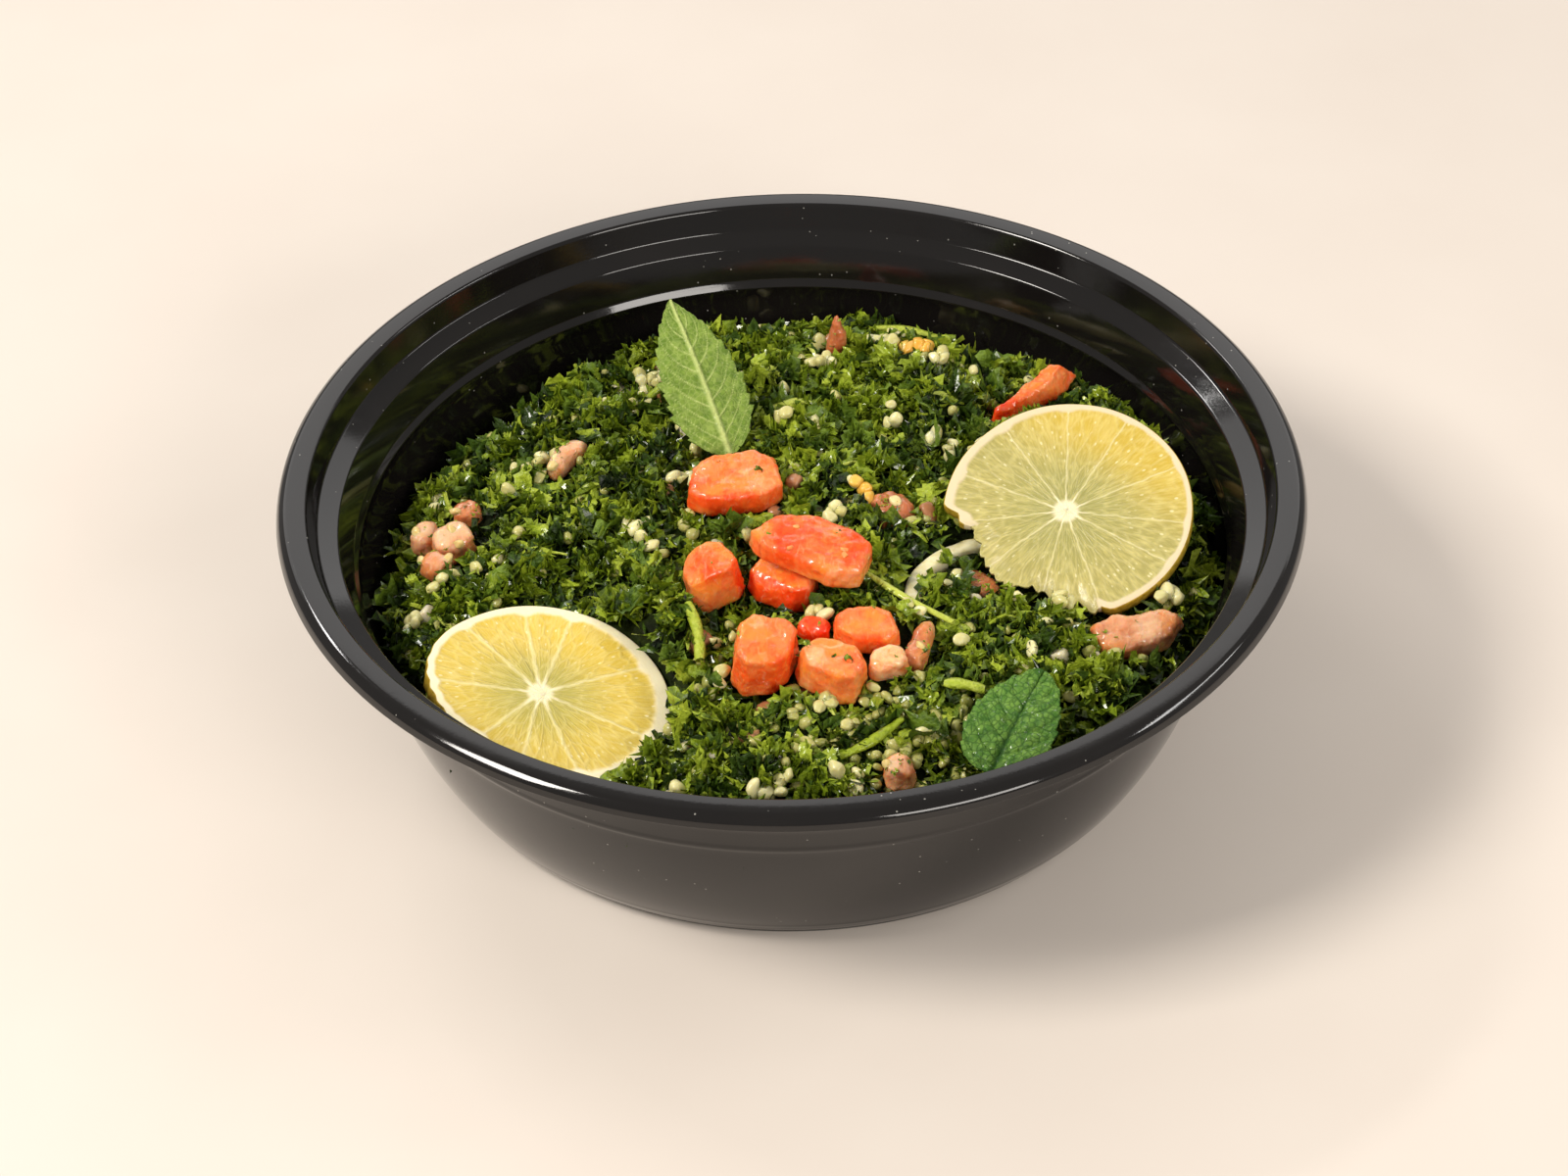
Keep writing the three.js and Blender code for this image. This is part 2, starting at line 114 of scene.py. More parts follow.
# ------------------------------------------------------------------ materials
class Wire:
    """An output socket of a material. Arithmetic on it adds Math nodes."""

    def __init__(self, finish, socket):
        self.finish = finish
        self.socket = socket

    def math(self, operation, *others):
        values = dict(enumerate((self, *others)))
        return self.finish.add("ShaderNodeMath", {"operation": operation}, values)

    def from_left(self, operation, other):
        return self.finish.add("ShaderNodeMath", {"operation": operation}, {0: other, 1: self})

    def __add__(self, other):
        return self.math("ADD", other)

    def __radd__(self, other):
        return self.from_left("ADD", other)

    def __sub__(self, other):
        return self.math("SUBTRACT", other)

    def __rsub__(self, other):
        return self.from_left("SUBTRACT", other)

    def __mul__(self, other):
        return self.math("MULTIPLY", other)

    def __rmul__(self, other):
        return self.from_left("MULTIPLY", other)

    def __truediv__(self, other):
        return self.math("DIVIDE", other)

    def __pow__(self, other):
        return self.math("POWER", other)

    def __abs__(self):
        return self.math("ABSOLUTE")

    def clipped(self):
        return self.math("MINIMUM", 1.0).math("MAXIMUM", 0.0)

    def rise(self, low, high):
        """0 below low, 1 above high, and a smooth rise between them."""
        values = {"Value": self, "From Min": low, "From Max": high}
        return self.finish.add("ShaderNodeMapRange", {"interpolation_type": "SMOOTHSTEP"}, values)


class Finish:
    """A material whose nodes are added one by one, ending in a Principled shader."""

    def __init__(self, name, **constants):
        self.material = bpy.data.materials.new(name)
        self.material.use_nodes = True
        self.tree = self.material.node_tree
        self.shader = self.tree.nodes["Principled BSDF"]
        self.connect(self.shader, {key.replace("_", " "): value for key, value in constants.items()})

    def connect(self, node, sockets):
        for key, value in sockets.items():
            socket = node.inputs[key]
            if isinstance(value, Wire):
                self.tree.links.new(value.socket, socket)
            elif isinstance(value, tuple) and len(value) == 3 and socket.type == "RGBA":
                socket.default_value = (*value, 1)
            else:
                socket.default_value = value

    def add(self, kind, settings=None, sockets=None, output=0):
        node = self.tree.nodes.new(kind)
        for key, value in (settings or {}).items():
            if key == "stops":
                self.set_stops(node.color_ramp, value)
            else:
                setattr(node, key, value)
        self.connect(node, sockets or {})
        return Wire(self, node.outputs[output])

    @staticmethod
    def set_stops(ramp, stops):
        while len(ramp.elements) < len(stops):
            ramp.elements.new(0.5)
        for element, (position, colour) in zip(ramp.elements, stops):
            element.position = position
            element.color = (*colour, 1)

    def place(self):
        return self.add("ShaderNodeTexCoord", output="Object")

    def axes(self, vector=None):
        """The x, y and z of a place."""
        split = self.add("ShaderNodeSeparateXYZ", sockets={0: vector or self.place()})
        outputs = split.socket.node.outputs
        return [Wire(self, outputs[i]) for i in range(3)]

    def vector(self, x, y, z):
        return self.add("ShaderNodeCombineXYZ", sockets={0: x, 1: y, 2: z})

    def noise(self, size, detail=2.0, vector=None, distortion=0.0):
        """Noise from 0 to 1 with bumps about size wide, in the units of the vector."""
        values = {"Vector": vector or self.place(), "Scale": 1 / size}
        values.update({"Detail": detail, "Distortion": distortion})
        return self.add("ShaderNodeTexNoise", sockets=values)

    def cells(self, size, feature="F1", vector=None, randomness=1.0):
        values = {"Vector": vector or self.place(), "Scale": 1 / size, "Randomness": randomness}
        return self.add("ShaderNodeTexVoronoi", {"feature": feature}, values)

    def value(self, name):
        """A number that the mesh holds at each of its points."""
        return self.add("ShaderNodeAttribute", {"attribute_name": name}, output="Fac")

    def ramp(self, value, *stops):
        return self.add("ShaderNodeValToRGB", {"stops": stops}, {"Fac": value})

    def mix(self, factor, one, other, blend="MIX"):
        settings = {"data_type": "RGBA", "blend_type": blend}
        return self.add("ShaderNodeMix", settings, {0: factor, 6: one, 7: other}, output=2)

    def bump(self, height, strength, distance):
        values = {"Height": height, "Strength": strength, "Distance": distance}
        return self.add("ShaderNodeBump", sockets=values)

    def surface(self, **sockets):
        self.connect(self.shader, {key.replace("_", " "): value for key, value in sockets.items()})
        return self.material


def black_plastic():
    """Glossy moulded plastic with a greasy film here and there."""
    finish = Finish("black_plastic", IOR=1.5)
    film = finish.noise(22 * MM, 4).rise(0.45, 0.75)
    smears = finish.noise(3 * MM, 3).rise(0.5, 0.8)
    base = finish.mix(film * 0.5, (0.0060, 0.0050, 0.0046), (0.010, 0.008, 0.007))
    grain = finish.noise(0.5 * MM, 1)
    specks = (1 - finish.cells(2.4 * MM).rise(0.05, 0.075)) * finish.noise(14 * MM, 1).rise(0.5, 0.56)
    base = finish.mix(specks * 0.8, base, (0.32, 0.31, 0.28))
    return finish.surface(
        Base_Color=base,
        Roughness=0.07 + film * 0.05 + smears * 0.04,
        Normal=finish.bump(grain, 0.03, 0.1 * MM),
    )


def herb_leaf(name, dark, middle, light):
    """Wet chopped leaf; tint goes from 0 for the darkest bits to 1 for the palest, and carries painted shade on
    deep bits and in creases as well as the leaf's own tone.
    """
    finish = Finish(name, Coat_Roughness=0.16, IOR=1.42, Specular_IOR_Level=0.3)
    place = finish.place()
    tint = finish.value("tint")
    mottle = finish.noise(0.95 * MM, 3, place)
    broad = finish.noise(4.5 * MM, 2, place)
    tone = (tint + (mottle - 0.5) * 0.95 + (broad - 0.5) * 0.6).clipped()
    colour = finish.ramp(tone, (0.0, dark), (0.45, middle), (1.0, light))
    crinkle = finish.noise(0.55 * MM, 3, place)
    wet = finish.noise(0.8 * MM, 2, place, distortion=0.5).rise(0.42, 0.55)
    return finish.surface(
        Base_Color=colour,
        Roughness=0.32 + mottle * 0.3,
        Coat_Weight=wet,
        Normal=finish.bump(crinkle + mottle, 0.8, 0.5 * MM),
    )


# Near-black green: painted shade for the gaps between the loose bits.
def painted_shade_core():
    finish = Finish("painted_shade_core", IOR=1.4, Specular_IOR_Level=0.2)
    patches = finish.noise(3.5 * MM, 4)
    fine = finish.noise(0.8 * MM, 3)
    colour = finish.ramp(
        patches, (0.3, (0.003, 0.005, 0.0005)), (0.6, (0.012, 0.020, 0.001)), (0.8, (0.035, 0.05, 0.004)))
    bump = finish.bump(fine, 0.9, 0.6 * MM)
    return finish.surface(Base_Color=colour, Roughness=0.5 + fine * 0.4, Normal=bump)


def cooked_grain(name, pale, deep, weight=0.35):
    """Swollen cracked wheat, pale and a little clear."""
    finish = Finish(name, Subsurface_Weight=weight, Subsurface_Radius=(0.9, 0.75, 0.35),
                    Subsurface_Scale=1.6 * MM,
                    Coat_Weight=0.5, Coat_Roughness=0.14, IOR=1.42)
    mottle = finish.noise(0.9 * MM, 3)
    tone = (finish.value("tint") * 0.8 + (mottle - 0.5) * 0.9 + 0.1).clipped()
    colour = finish.mix(tone, pale, deep)
    fine = finish.noise(0.3 * MM, 2)
    bump = finish.bump(fine, 0.3, 0.1 * MM)
    return finish.surface(Base_Color=colour, Roughness=0.32 + mottle * 0.2, Normal=bump)


def tomato_flesh(name, deep, red, orange, pale, amber, clear):
    """Cut tomato, from deep red at tint 0 to the pale flesh round the core at tint 1, with amber patches; the
    tint also carries painted light and shade on each face.
    """
    finish = Finish(name, Subsurface_Weight=clear, Subsurface_Radius=(1.0, 0.28, 0.1), Subsurface_Scale=3 * MM,
                    Coat_Roughness=0.09, IOR=1.42, Specular_IOR_Level=0.5)
    place = finish.place()
    x, y, z = finish.axes(place)
    streaks = finish.noise(3.4 * MM, 3, place, distortion=1.2)
    fibres = finish.noise(0.9 * MM, 4, place, distortion=0.6)
    tone = (finish.value("tint") + (fibres - 0.5) * 0.3 + (streaks - 0.5) * 0.65).clipped()
    flesh = finish.ramp(tone, (0.0, deep), (0.38, red), (0.68, orange), (1.0, pale))
    threads = finish.noise(1.0 * MM, 3, finish.vector(x, y * 0.3, z * 0.6), distortion=0.9).rise(0.54, 0.72)
    patches = finish.noise(5 * MM, 1, place).rise(0.46, 0.62)
    warmed = finish.mix(patches * tone.rise(0.3, 0.6) * (1 - tone.rise(0.75, 0.95)) * 0.75, flesh, amber)
    colour = finish.mix(threads * 0.22, warmed, pale)
    beads = finish.noise(1.3 * MM, 2, place)
    wet = finish.noise(1.6 * MM, 3, place).rise(0.42, 0.56)
    return finish.surface(
        Base_Color=colour,
        Roughness=0.24 + fibres * 0.25,
        Coat_Weight=wet,
        Normal=finish.bump(fibres * 0.6 + beads + threads * 0.3, 0.5, 0.4 * MM),
    )


def lemon_face(name, membranes, wall_width, core_offset, rich_side,
               inner_flesh, outer_flesh, rich_flesh, cream):
    """A cut face: cream core, pale membranes, streaked flesh with painted glints, cream pith and thin yellow
    zest.
    """
    finish = Finish(name, Subsurface_Weight=0.2, Subsurface_Radius=(1.0, 0.8, 0.25), Subsurface_Scale=2 * MM,
                    Coat_Weight=0.25, Coat_Roughness=0.15, IOR=1.38, Specular_IOR_Level=0.3)
    x, y, z = finish.axes()
    along = x - core_offset[0]
    across = y - core_offset[1]
    reach = (along * along + across * across) ** 0.5
    turn = across.math("ARCTAN2", along)
    wobble = (finish.noise(3 * MM, 2) - 0.5) * 0.9 * MM
    off_wall = None
    for degrees in membranes:
        c, s = math.cos(math.radians(degrees)), math.sin(math.radians(degrees))
        behind = 1 - (along * c + across * s).rise(0, 1.5 * MM)
        beside = abs(along * s - across * c + wobble) + behind * 30 * MM
        off_wall = beside if off_wall is None else off_wall.math("MINIMUM", beside)
    walls = 1 - off_wall.rise(0.0, wall_width)
    corners = 1 - off_wall.rise(0.2 * MM, 2.4 * MM)
    edge = finish.value("edge")
    pith = (edge + (finish.noise(1.6 * MM, 3) - 0.5) * 0.12 + corners * 0.17).rise(0.36, 0.62)
    zest = edge.rise(0.9, 0.96)
    fibre = finish.vector(turn * 7.5, reach / (4.2 * MM), 0.0)
    cell = finish.cells(1.0, "DISTANCE_TO_EDGE", fibre)
    fine = finish.noise(0.22, 3, finish.vector(turn * 9.0, reach / (9 * MM), 0.3))
    threads = 1 - cell.rise(0.0, 0.16)
    outward = reach.rise(3 * MM, 16 * MM)
    rich = math.radians(rich_side)
    facing = (x * math.cos(rich) + y * math.sin(rich)).rise(3 * MM, 17 * MM)
    clear = finish.mix(outward, inner_flesh, outer_flesh)
    rich = finish.mix(facing * outward, clear, rich_flesh)
    mottled = finish.mix(fine.rise(0.4, 0.75) * 0.35, rich, (0.84, 0.72, 0.26))
    pulp = finish.mix(threads * 0.17, mottled, (0.88, 0.78, 0.36))
    # Painted glints: tiny pale strokes on the vesicle ends, towards the rind.
    painted_glints = 1 - finish.cells(1.0, "F1", finish.vector(turn * 13, reach / (2.4 * MM), 0.5)).rise(0.1, 0.2)
    glinting = finish.mix(painted_glints * outward * 0.5, pulp, (0.95, 0.90, 0.58))
    walled = finish.mix(walls * 0.5, glinting, (0.88, 0.80, 0.44))
    core = 1 - reach.rise(CORE_RADIUS * 0.85, CORE_RADIUS * 1.5)
    star = core.math("MAXIMUM", walls * (1 - reach.rise(2 * MM, 5 * MM)))
    inner = finish.mix(star, walled, (0.95, 0.86, 0.56))
    ringed = finish.mix(pith, inner, cream)
    spots = finish.noise(0.9 * MM, 3)
    peel = finish.mix(spots.rise(0.4, 0.7), (0.50, 0.33, 0.03), (0.32, 0.20, 0.015))
    colour = finish.mix(zest, ringed, peel)
    relief = (threads * 0.6 + fine * 0.5 + walls * 0.7) * (1 - pith) + finish.noise(0.4 * MM, 2) * 0.25
    return finish.surface(
        Base_Color=colour,
        Roughness=0.22 + pith * 0.3 + fine * 0.12,
        Normal=finish.bump(relief, 0.42, 0.4 * MM),
    )


def pale_pith():
    finish = Finish("pale_pith", Subsurface_Weight=0.3, Subsurface_Radius=(1.0, 0.85, 0.4),
                    Subsurface_Scale=1.5 * MM, IOR=1.4)
    zest = finish.value("edge").rise(0.8, 0.9)
    mottle = finish.noise(1.4 * MM, 3)
    pith = finish.mix(mottle.rise(0.35, 0.7), (0.92, 0.85, 0.56), (0.80, 0.71, 0.36))
    colour = finish.mix(zest, pith, (0.66, 0.48, 0.08))
    return finish.surface(Base_Color=colour, Roughness=0.42, Normal=finish.bump(mottle, 0.4, 0.3 * MM))


def mint_surface(name, blade_dark, blade_light, vein_colour_and_groove_shade, net_share, coat):
    """Mint: the veins come from the leaf's own vein value, and a net of fine veins lies between them; their
    colour is pale on the underside and near-black green on the upper side, painted shade in the sunken grooves.
    """
    finish = Finish(name, Coat_Roughness=0.2, IOR=1.4, Specular_IOR_Level=0.3)
    vein = finish.value("vein")
    place = finish.place()
    sway = {"Vector": place, "Scale": 1 / (1.2 * MM), "Detail": 1.0}
    warped = finish.add("ShaderNodeVectorMath", {"operation": "MULTIPLY_ADD"}, {
        0: finish.add("ShaderNodeTexNoise", sockets=sway, output=1),
        1: (0.8 * MM, 0.8 * MM, 0.8 * MM), 2: place})
    net = 1 - finish.cells(1.1 * MM, "DISTANCE_TO_EDGE", warped).rise(0.02, 0.16)
    patches = finish.noise(1.6 * MM, 4, place)
    blade = finish.mix(patches.rise(0.3, 0.7), blade_dark, blade_light)
    netted = finish.mix(net * net_share, blade, vein_colour_and_groove_shade)
    colour = finish.mix(vein.clipped(), netted, vein_colour_and_groove_shade)
    fine = finish.noise(0.4 * MM, 3, place)
    wet = finish.noise(0.55 * MM, 1, place).rise(0.6, 0.68)
    return finish.surface(
        Base_Color=colour,
        Roughness=0.42 + fine * 0.25,
        Coat_Weight=wet * coat,
        Normal=finish.bump(fine + patches * 1.5 - net * 0.5, 0.6, 0.22 * MM),
    )


def pale_floor():
    finish = Finish("pale_floor", Roughness=0.7, IOR=1.4)
    patches = finish.noise(60 * MM, 3)
    colour = finish.mix(patches, (0.70, 0.62, 0.55), (0.76, 0.69, 0.62))
    return finish.surface(Base_Color=colour)


# ------------------------------------------------------------------ meshes
def make_piece(name, points, faces, material, values=None, smooth=True, at=None):
    """A mesh object of points and of faces that all have the same number of corners."""
    points = np.asarray(points, np.float32)
    faces = np.asarray(faces, np.int32)
    corners = faces.shape[1]
    mesh = bpy.data.meshes.new(name)
    mesh.vertices.add(len(points))
    mesh.vertices.foreach_set("co", points.ravel())
    mesh.loops.add(faces.size)
    mesh.loops.foreach_set("vertex_index", faces.ravel())
    mesh.polygons.add(len(faces))
    mesh.polygons.foreach_set("loop_start", np.arange(0, faces.size, corners, dtype=np.int32))
    mesh.update(calc_edges=True)
    mesh.validate()
    mesh.polygons.foreach_set("use_smooth", np.full(len(mesh.polygons), smooth))
    for key, numbers in (values or {}).items():
        layer = mesh.attributes.new(key, "FLOAT", "POINT")
        layer.data.foreach_set("value", np.asarray(numbers, np.float32))
    mesh.materials.append(material)
    piece = bpy.data.objects.new(name, mesh)
    bpy.context.scene.collection.objects.link(piece)
    if at is not None:
        piece.matrix_world = at
    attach(piece, "root")
    return piece


def grid_faces(rows, columns, wrap=False):
    """Quads of a grid of points stored row by row; wrap joins the last column to the first."""
    row, column = np.meshgrid(np.arange(rows - 1), np.arange(columns if wrap else columns - 1), indexing="ij")
    beside = (column + 1) % columns
    quads = np.stack([row * columns + column, row * columns + beside,
                      (row + 1) * columns + beside, (row + 1) * columns + column], axis=-1)
    return quads.reshape(-1, 4)


def rounded(corners, radii, steps=5):
    """A profile whose corners are rounded by arcs of the given radii."""
    corners = [np.array(corner, float) for corner in corners]
    points = [corners[0]]
    for before, here, after, radius in zip(corners, corners[1:], corners[2:], radii[1:]):
        into = (before - here) / np.linalg.norm(before - here)
        out = (after - here) / np.linalg.norm(after - here)
        reach = min(radius, 0.45 * np.linalg.norm(before - here), 0.45 * np.linalg.norm(after - here))
        if reach <= 0:
            points.append(here)
            continue
        start, end = here + into * reach, here + out * reach
        for share in np.linspace(0, 1, steps):
            points.append((1 - share) ** 2 * start + 2 * share * (1 - share) * here + share**2 * end)
    points.append(corners[-1])
    return np.array(points)


# ------------------------------------------------------------------ bowl
def curve_points(curve, steps):
    (start, middle, end) = (np.array(point) for point in curve)
    share = np.linspace(0, 1, steps)[:, None]
    return (1 - share) ** 2 * start + 2 * share * (1 - share) * middle + share**2 * end


def wall_points(offset=0.0):
    """The outer wall's profile, or one that lies offset inside it."""
    points = curve_points(WALL_CURVE, WALL_STEPS)
    along = np.gradient(points, axis=0)
    along /= np.linalg.norm(along, axis=1)[:, None]
    return points + np.stack([-along[:, 1], along[:, 0]], axis=1) * offset


def with_beads(points):
    """Adds the fine rings that stand out of the wall."""
    points = points.copy()
    for height, width, depth in WALL_BEADS:
        points[:, 0] += depth * np.exp(-(((points[:, 1] - height) / width) ** 2))
    return points


def make_bowl():
    top = BOWL_HEIGHT
    rim_inner = RIM_RADIUS - RIM_WIDTH
    lip_inner = RIM_RADIUS - LIP_THICKNESS
    ledge = [(radius, top + height) for radius, height in (*UPPER_LEDGE, *LOWER_LEDGE)]
    floor = FOOT_RECESS + WALL
    wall = wall_points()
    heights = np.sort(np.concatenate([wall[:, 1], *[
        height + np.linspace(-2, 2, 7) * width for height, width, _ in WALL_BEADS]]))
    heights = heights[heights > 0.6 * MM]
    outer = np.stack([np.interp(heights, wall[:, 1], wall[:, 0]), heights], axis=1)
    underside = [(0, FOOT_RECESS), (FOOT_RADIUS - FOOT_RING_WIDTH, FOOT_RECESS),
                 (FOOT_RADIUS - FOOT_RING_WIDTH + FOOT_RECESS, 0), (FOOT_RADIUS - 0.2 * MM, 0),
                 tuple(outer[0])]
    below = [tuple(outer[-1]), (ledge[2][0] + WALL, ledge[2][1] - 0.4 * MM),
             (ledge[1][0] + WALL, ledge[1][1] - WALL), (ledge[0][0] + WALL, ledge[0][1] - WALL),
             (rim_inner + WALL, top - WALL), (lip_inner, top - WALL), (lip_inner, top - LIP_DROP),
             (RIM_RADIUS, top - LIP_DROP), (RIM_RADIUS - 0.5 * MM, top - 0.95 * MM),
             (RIM_RADIUS - 1.7 * MM, top), (rim_inner + 0.35 * MM, top - 0.05 * MM),
             (rim_inner, top - 0.4 * MM), *ledge]
    below_radii = [0, 0.8, 0.8, 0.8, 0.8, 0.5, 0.4, 0.3, 0.5, 0.6, 0.25, 0.25, 0.4, 0.35, 0.35, 0.3]
    inside = wall_points(WALL)
    inside = inside[inside[:, 1] > floor + 3 * MM][::-1]
    bottom = [tuple(inside[-1]), (inside[-1][0] - 3.4 * MM, floor), (0, floor)]
    profile = np.concatenate([
        rounded(underside, [0, 0.3 * MM, 0.3 * MM, 0.6 * MM, 0], 4),
        with_beads(outer)[1:],
        rounded(below + [tuple(inside[0])], [radius * MM for radius in below_radii] + [0], 6)[1:-1],
        inside[1:-1],
        rounded(bottom, [0, 2.4 * MM, 0], 6),
    ])
    turn = np.linspace(0, 2 * np.pi, BOWL_SEGMENTS, endpoint=False)
    points = np.stack([
        profile[:, :1] * np.cos(turn), profile[:, :1] * np.sin(turn),
        np.repeat(profile[:, 1:], BOWL_SEGMENTS, 1),
    ], axis=-1).reshape(-1, 3)
    faces = grid_faces(len(profile), BOWL_SEGMENTS, wrap=True)
    bowl = make_piece("bowl_moulding", points, faces, black_plastic())
    merge = bowl.modifiers.new("join_middle", "WELD")
    merge.merge_threshold = 0.01 * MM
    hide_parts("bowl")
    return bowl


def inside_radius(height):
    """Radius of the bowl's inside at each height."""
    wall = wall_points(WALL)
    heights = [*wall[:, 1], BOWL_HEIGHT + LOWER_LEDGE[1][1], BOWL_HEIGHT + LOWER_LEDGE[0][1],
               BOWL_HEIGHT + UPPER_LEDGE[1][1], BOWL_HEIGHT + UPPER_LEDGE[0][1], BOWL_HEIGHT]
    ledges = [LOWER_LEDGE[1][0], LOWER_LEDGE[0][0], UPPER_LEDGE[1][0], UPPER_LEDGE[0][0]]
    radii = [*wall[:, 0], *ledges, RIM_RADIUS - RIM_WIDTH]
    return np.interp(height, heights, radii)


# ------------------------------------------------------------------ the heap's surface
def tree_of(nodes):
    """One search tree for the surfaces of several CAD nodes."""
    points, triangles = [], []
    for name in nodes:
        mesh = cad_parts[name].data
        mesh.calc_loop_triangles()
        start = len(points)
        points += [tuple(vertex.co) for vertex in mesh.vertices]
        triangles += [tuple(start + i for i in triangle.vertices) for triangle in mesh.loop_triangles]
    return BVHTree.FromPolygons(points, triangles)


class HeapSurface:
    """Heights of the heap over a square grid, read once from its CAD solid."""

    STEP = 1 * MM

    def __init__(self):
        tree = tree_of(["salad_heap"])
        self.low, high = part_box("salad_heap")
        count = int((high.x - self.low.x) / self.STEP) + 2, int((high.y - self.low.y) / self.STEP) + 2
        self.grid = np.full(count, np.nan)
        for i, j in itertools.product(*map(range, count)):
            start = Vector((self.low.x + i * self.STEP, self.low.y + j * self.STEP, 1))
            hit = tree.ray_cast(start, Vector((0, 0, -1)))[0]
            if hit is not None:
                self.grid[i, j] = hit.z
        for _ in range(12):
            self.fill_edge()

    def fill_edge(self):
        """Carries the surface a step past its edge."""
        padded = np.pad(self.grid, 1, constant_values=np.nan)
        around = np.stack([padded[1 + i:padded.shape[0] - 1 + i, 1 + j:padded.shape[1] - 1 + j]
                           for i, j in itertools.product((-1, 0, 1), repeat=2)])
        known = np.isfinite(around)
        total = np.where(known, around, 0).sum(0)
        average = total / np.maximum(known.sum(0), 1)
        self.grid = np.where(np.isfinite(self.grid), self.grid, np.where(known.any(0), average, np.nan))

    def height(self, x, y):
        u = np.clip((x - self.low.x) / self.STEP, 0, self.grid.shape[0] - 1.001)
        v = np.clip((y - self.low.y) / self.STEP, 0, self.grid.shape[1] - 1.001)
        i, j = u.astype(int), v.astype(int)
        a, b = u - i, v - j
        rows = self.grid[i, j] * (1 - b) + self.grid[i, j + 1] * b
        after = self.grid[i + 1, j] * (1 - b) + self.grid[i + 1, j + 1] * b
        return rows * (1 - a) + after * a


heap = HeapSurface()
toppings = tree_of(TOPPING_NODES)


def heap_edge(x, y):
    """How far each point is inside the heap's edge at the wall."""
    height = heap.height(x, y)
    return inside_radius(height) - np.hypot(x, y)


def loose_surface(x, y):
    """The heap's height, falling away in a rough slope by the wall."""
    flat = np.stack([x, y, np.zeros_like(x)], axis=1)
    ragged = EDGE_FALL_WIDTH * (1 + 0.65 * smooth_noise(flat, 12 * MM))
    drop = EDGE_FALL * (1 + 0.6 * smooth_noise(flat, 9 * MM, 5.5)) * (1 - blend_in(heap_edge(x, y), 0, ragged))
    lumps = sum(depth * MM * smooth_noise(flat, size * MM, size) for size, depth in HEAP_LUMPS)
    return heap.height(x, y) - drop + lumps


def make_heap_core():
    """The mass below the loose bits, near-black as painted shade in the gaps between them, closed underneath
    along the bowl.
    """
    rings, spokes = 76, 190
    share = np.linspace(0, 1, rings)
    turn = np.linspace(0, 2 * np.pi, spokes, endpoint=False)
    reach = np.full(spokes, 0.0)
    for _ in range(4):
        x, y = reach * np.cos(turn), reach * np.sin(turn)
        reach = inside_radius(heap.height(x, y)) - 2 * HEAP_CLEARANCE
    x = share[:, None] * reach * np.cos(turn)
    y = share[:, None] * reach * np.sin(turn)
    flat = np.stack([x.ravel(), y.ravel(), np.zeros(x.size)], axis=1)
    relief = 0.9 * MM * smooth_noise(flat, 2.4 * MM) + 0.5 * MM * smooth_noise(flat, 1.2 * MM, 3.3)
    z = loose_surface(x.ravel(), y.ravel()) - CORE_DEPTH + relief
    top = np.stack([x.ravel(), y.ravel(), z], axis=1)
    edge = top[-spokes:]
    under = []
    for share_down in np.linspace(0, 1, 7)[1:]:
        level = edge[:, 2] * (1 - share_down) + (FOOT_RECESS + WALL + 0.4 * MM) * share_down
        radius = inside_radius(level) - 2 * HEAP_CLEARANCE - 2 * MM * (share_down == 1)
        under.append(np.stack([radius * np.cos(turn), radius * np.sin(turn), level], axis=1))
    middle = np.zeros((spokes, 3))
    middle[:, 2] = FOOT_RECESS + WALL + 0.4 * MM
    points = np.concatenate([top, *under, middle])
    faces = grid_faces(rings + 7, spokes, wrap=True)[:, ::-1]
    core = make_piece("painted_shade_core", points, faces, painted_shade_core())
    merge = core.modifiers.new("join_middle", "WELD")
    merge.merge_threshold = 0.01 * MM
    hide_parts("salad_heap")
    return core


# ------------------------------------------------------------------ scattering
def random_turns(rng, count, lean):
    """Rotation matrices: a free turn, then a lean away from upright of about lean radians."""
    spin = rng.uniform(0, 2 * np.pi, count)
    tilt = np.abs(rng.normal(0, lean, count))
    heading = rng.uniform(0, 2 * np.pi, count)
    axis = np.stack([np.cos(heading), np.sin(heading), np.zeros(count)], axis=1)
    cross = np.zeros((count, 3, 3))
    cross[:, 0, 2], cross[:, 1, 2] = axis[:, 1], -axis[:, 0]
    cross[:, 2, 0], cross[:, 2, 1] = -axis[:, 1], axis[:, 0]
    s, c = np.sin(tilt)[:, None, None], np.cos(tilt)[:, None, None]
    leaning = np.eye(3) + s * cross + (1 - c) * cross @ cross
    turning = np.zeros((count, 3, 3))
    turning[:, 0, 0] = turning[:, 1, 1] = np.cos(spin)
    turning[:, 0, 1], turning[:, 1, 0] = -np.sin(spin), np.sin(spin)
    turning[:, 2, 2] = 1
    return leaning @ turning


def inside_topping(point, nearest, normal):
    return normal is not None and (point - nearest).dot(normal) < 0


def places_on_heap(rng, count, size, deepest, highest, clearance=0.45):
    """Points on and just under the heap, clear of the wall and of the pieces that lie on it."""
    radius = RIM_RADIUS * 0.86 * np.sqrt(rng.uniform(0, 1, count))
    turn = rng.uniform(0, 2 * np.pi, count)
    x, y = radius * np.cos(turn), radius * np.sin(turn)
    z = loose_surface(x, y) + rng.uniform(deepest, highest, count)
    room = inside_radius(z) - np.hypot(x, y)
    kept = np.isfinite(z) & (room > size * 0.5 + 0.4 * MM)
    return clear_of_toppings(np.stack([x, y, z], axis=1)[kept], size * clearance)


def clear_of_toppings(points, gap):
    """The points that are outside every topping and at least gap from it."""
    clear = []
    for point in map(Vector, points):
        nearest, normal, _, distance = toppings.find_nearest(point)
        clear.append(distance > gap and not inside_topping(point, nearest, normal))
    return points[np.array(clear)]


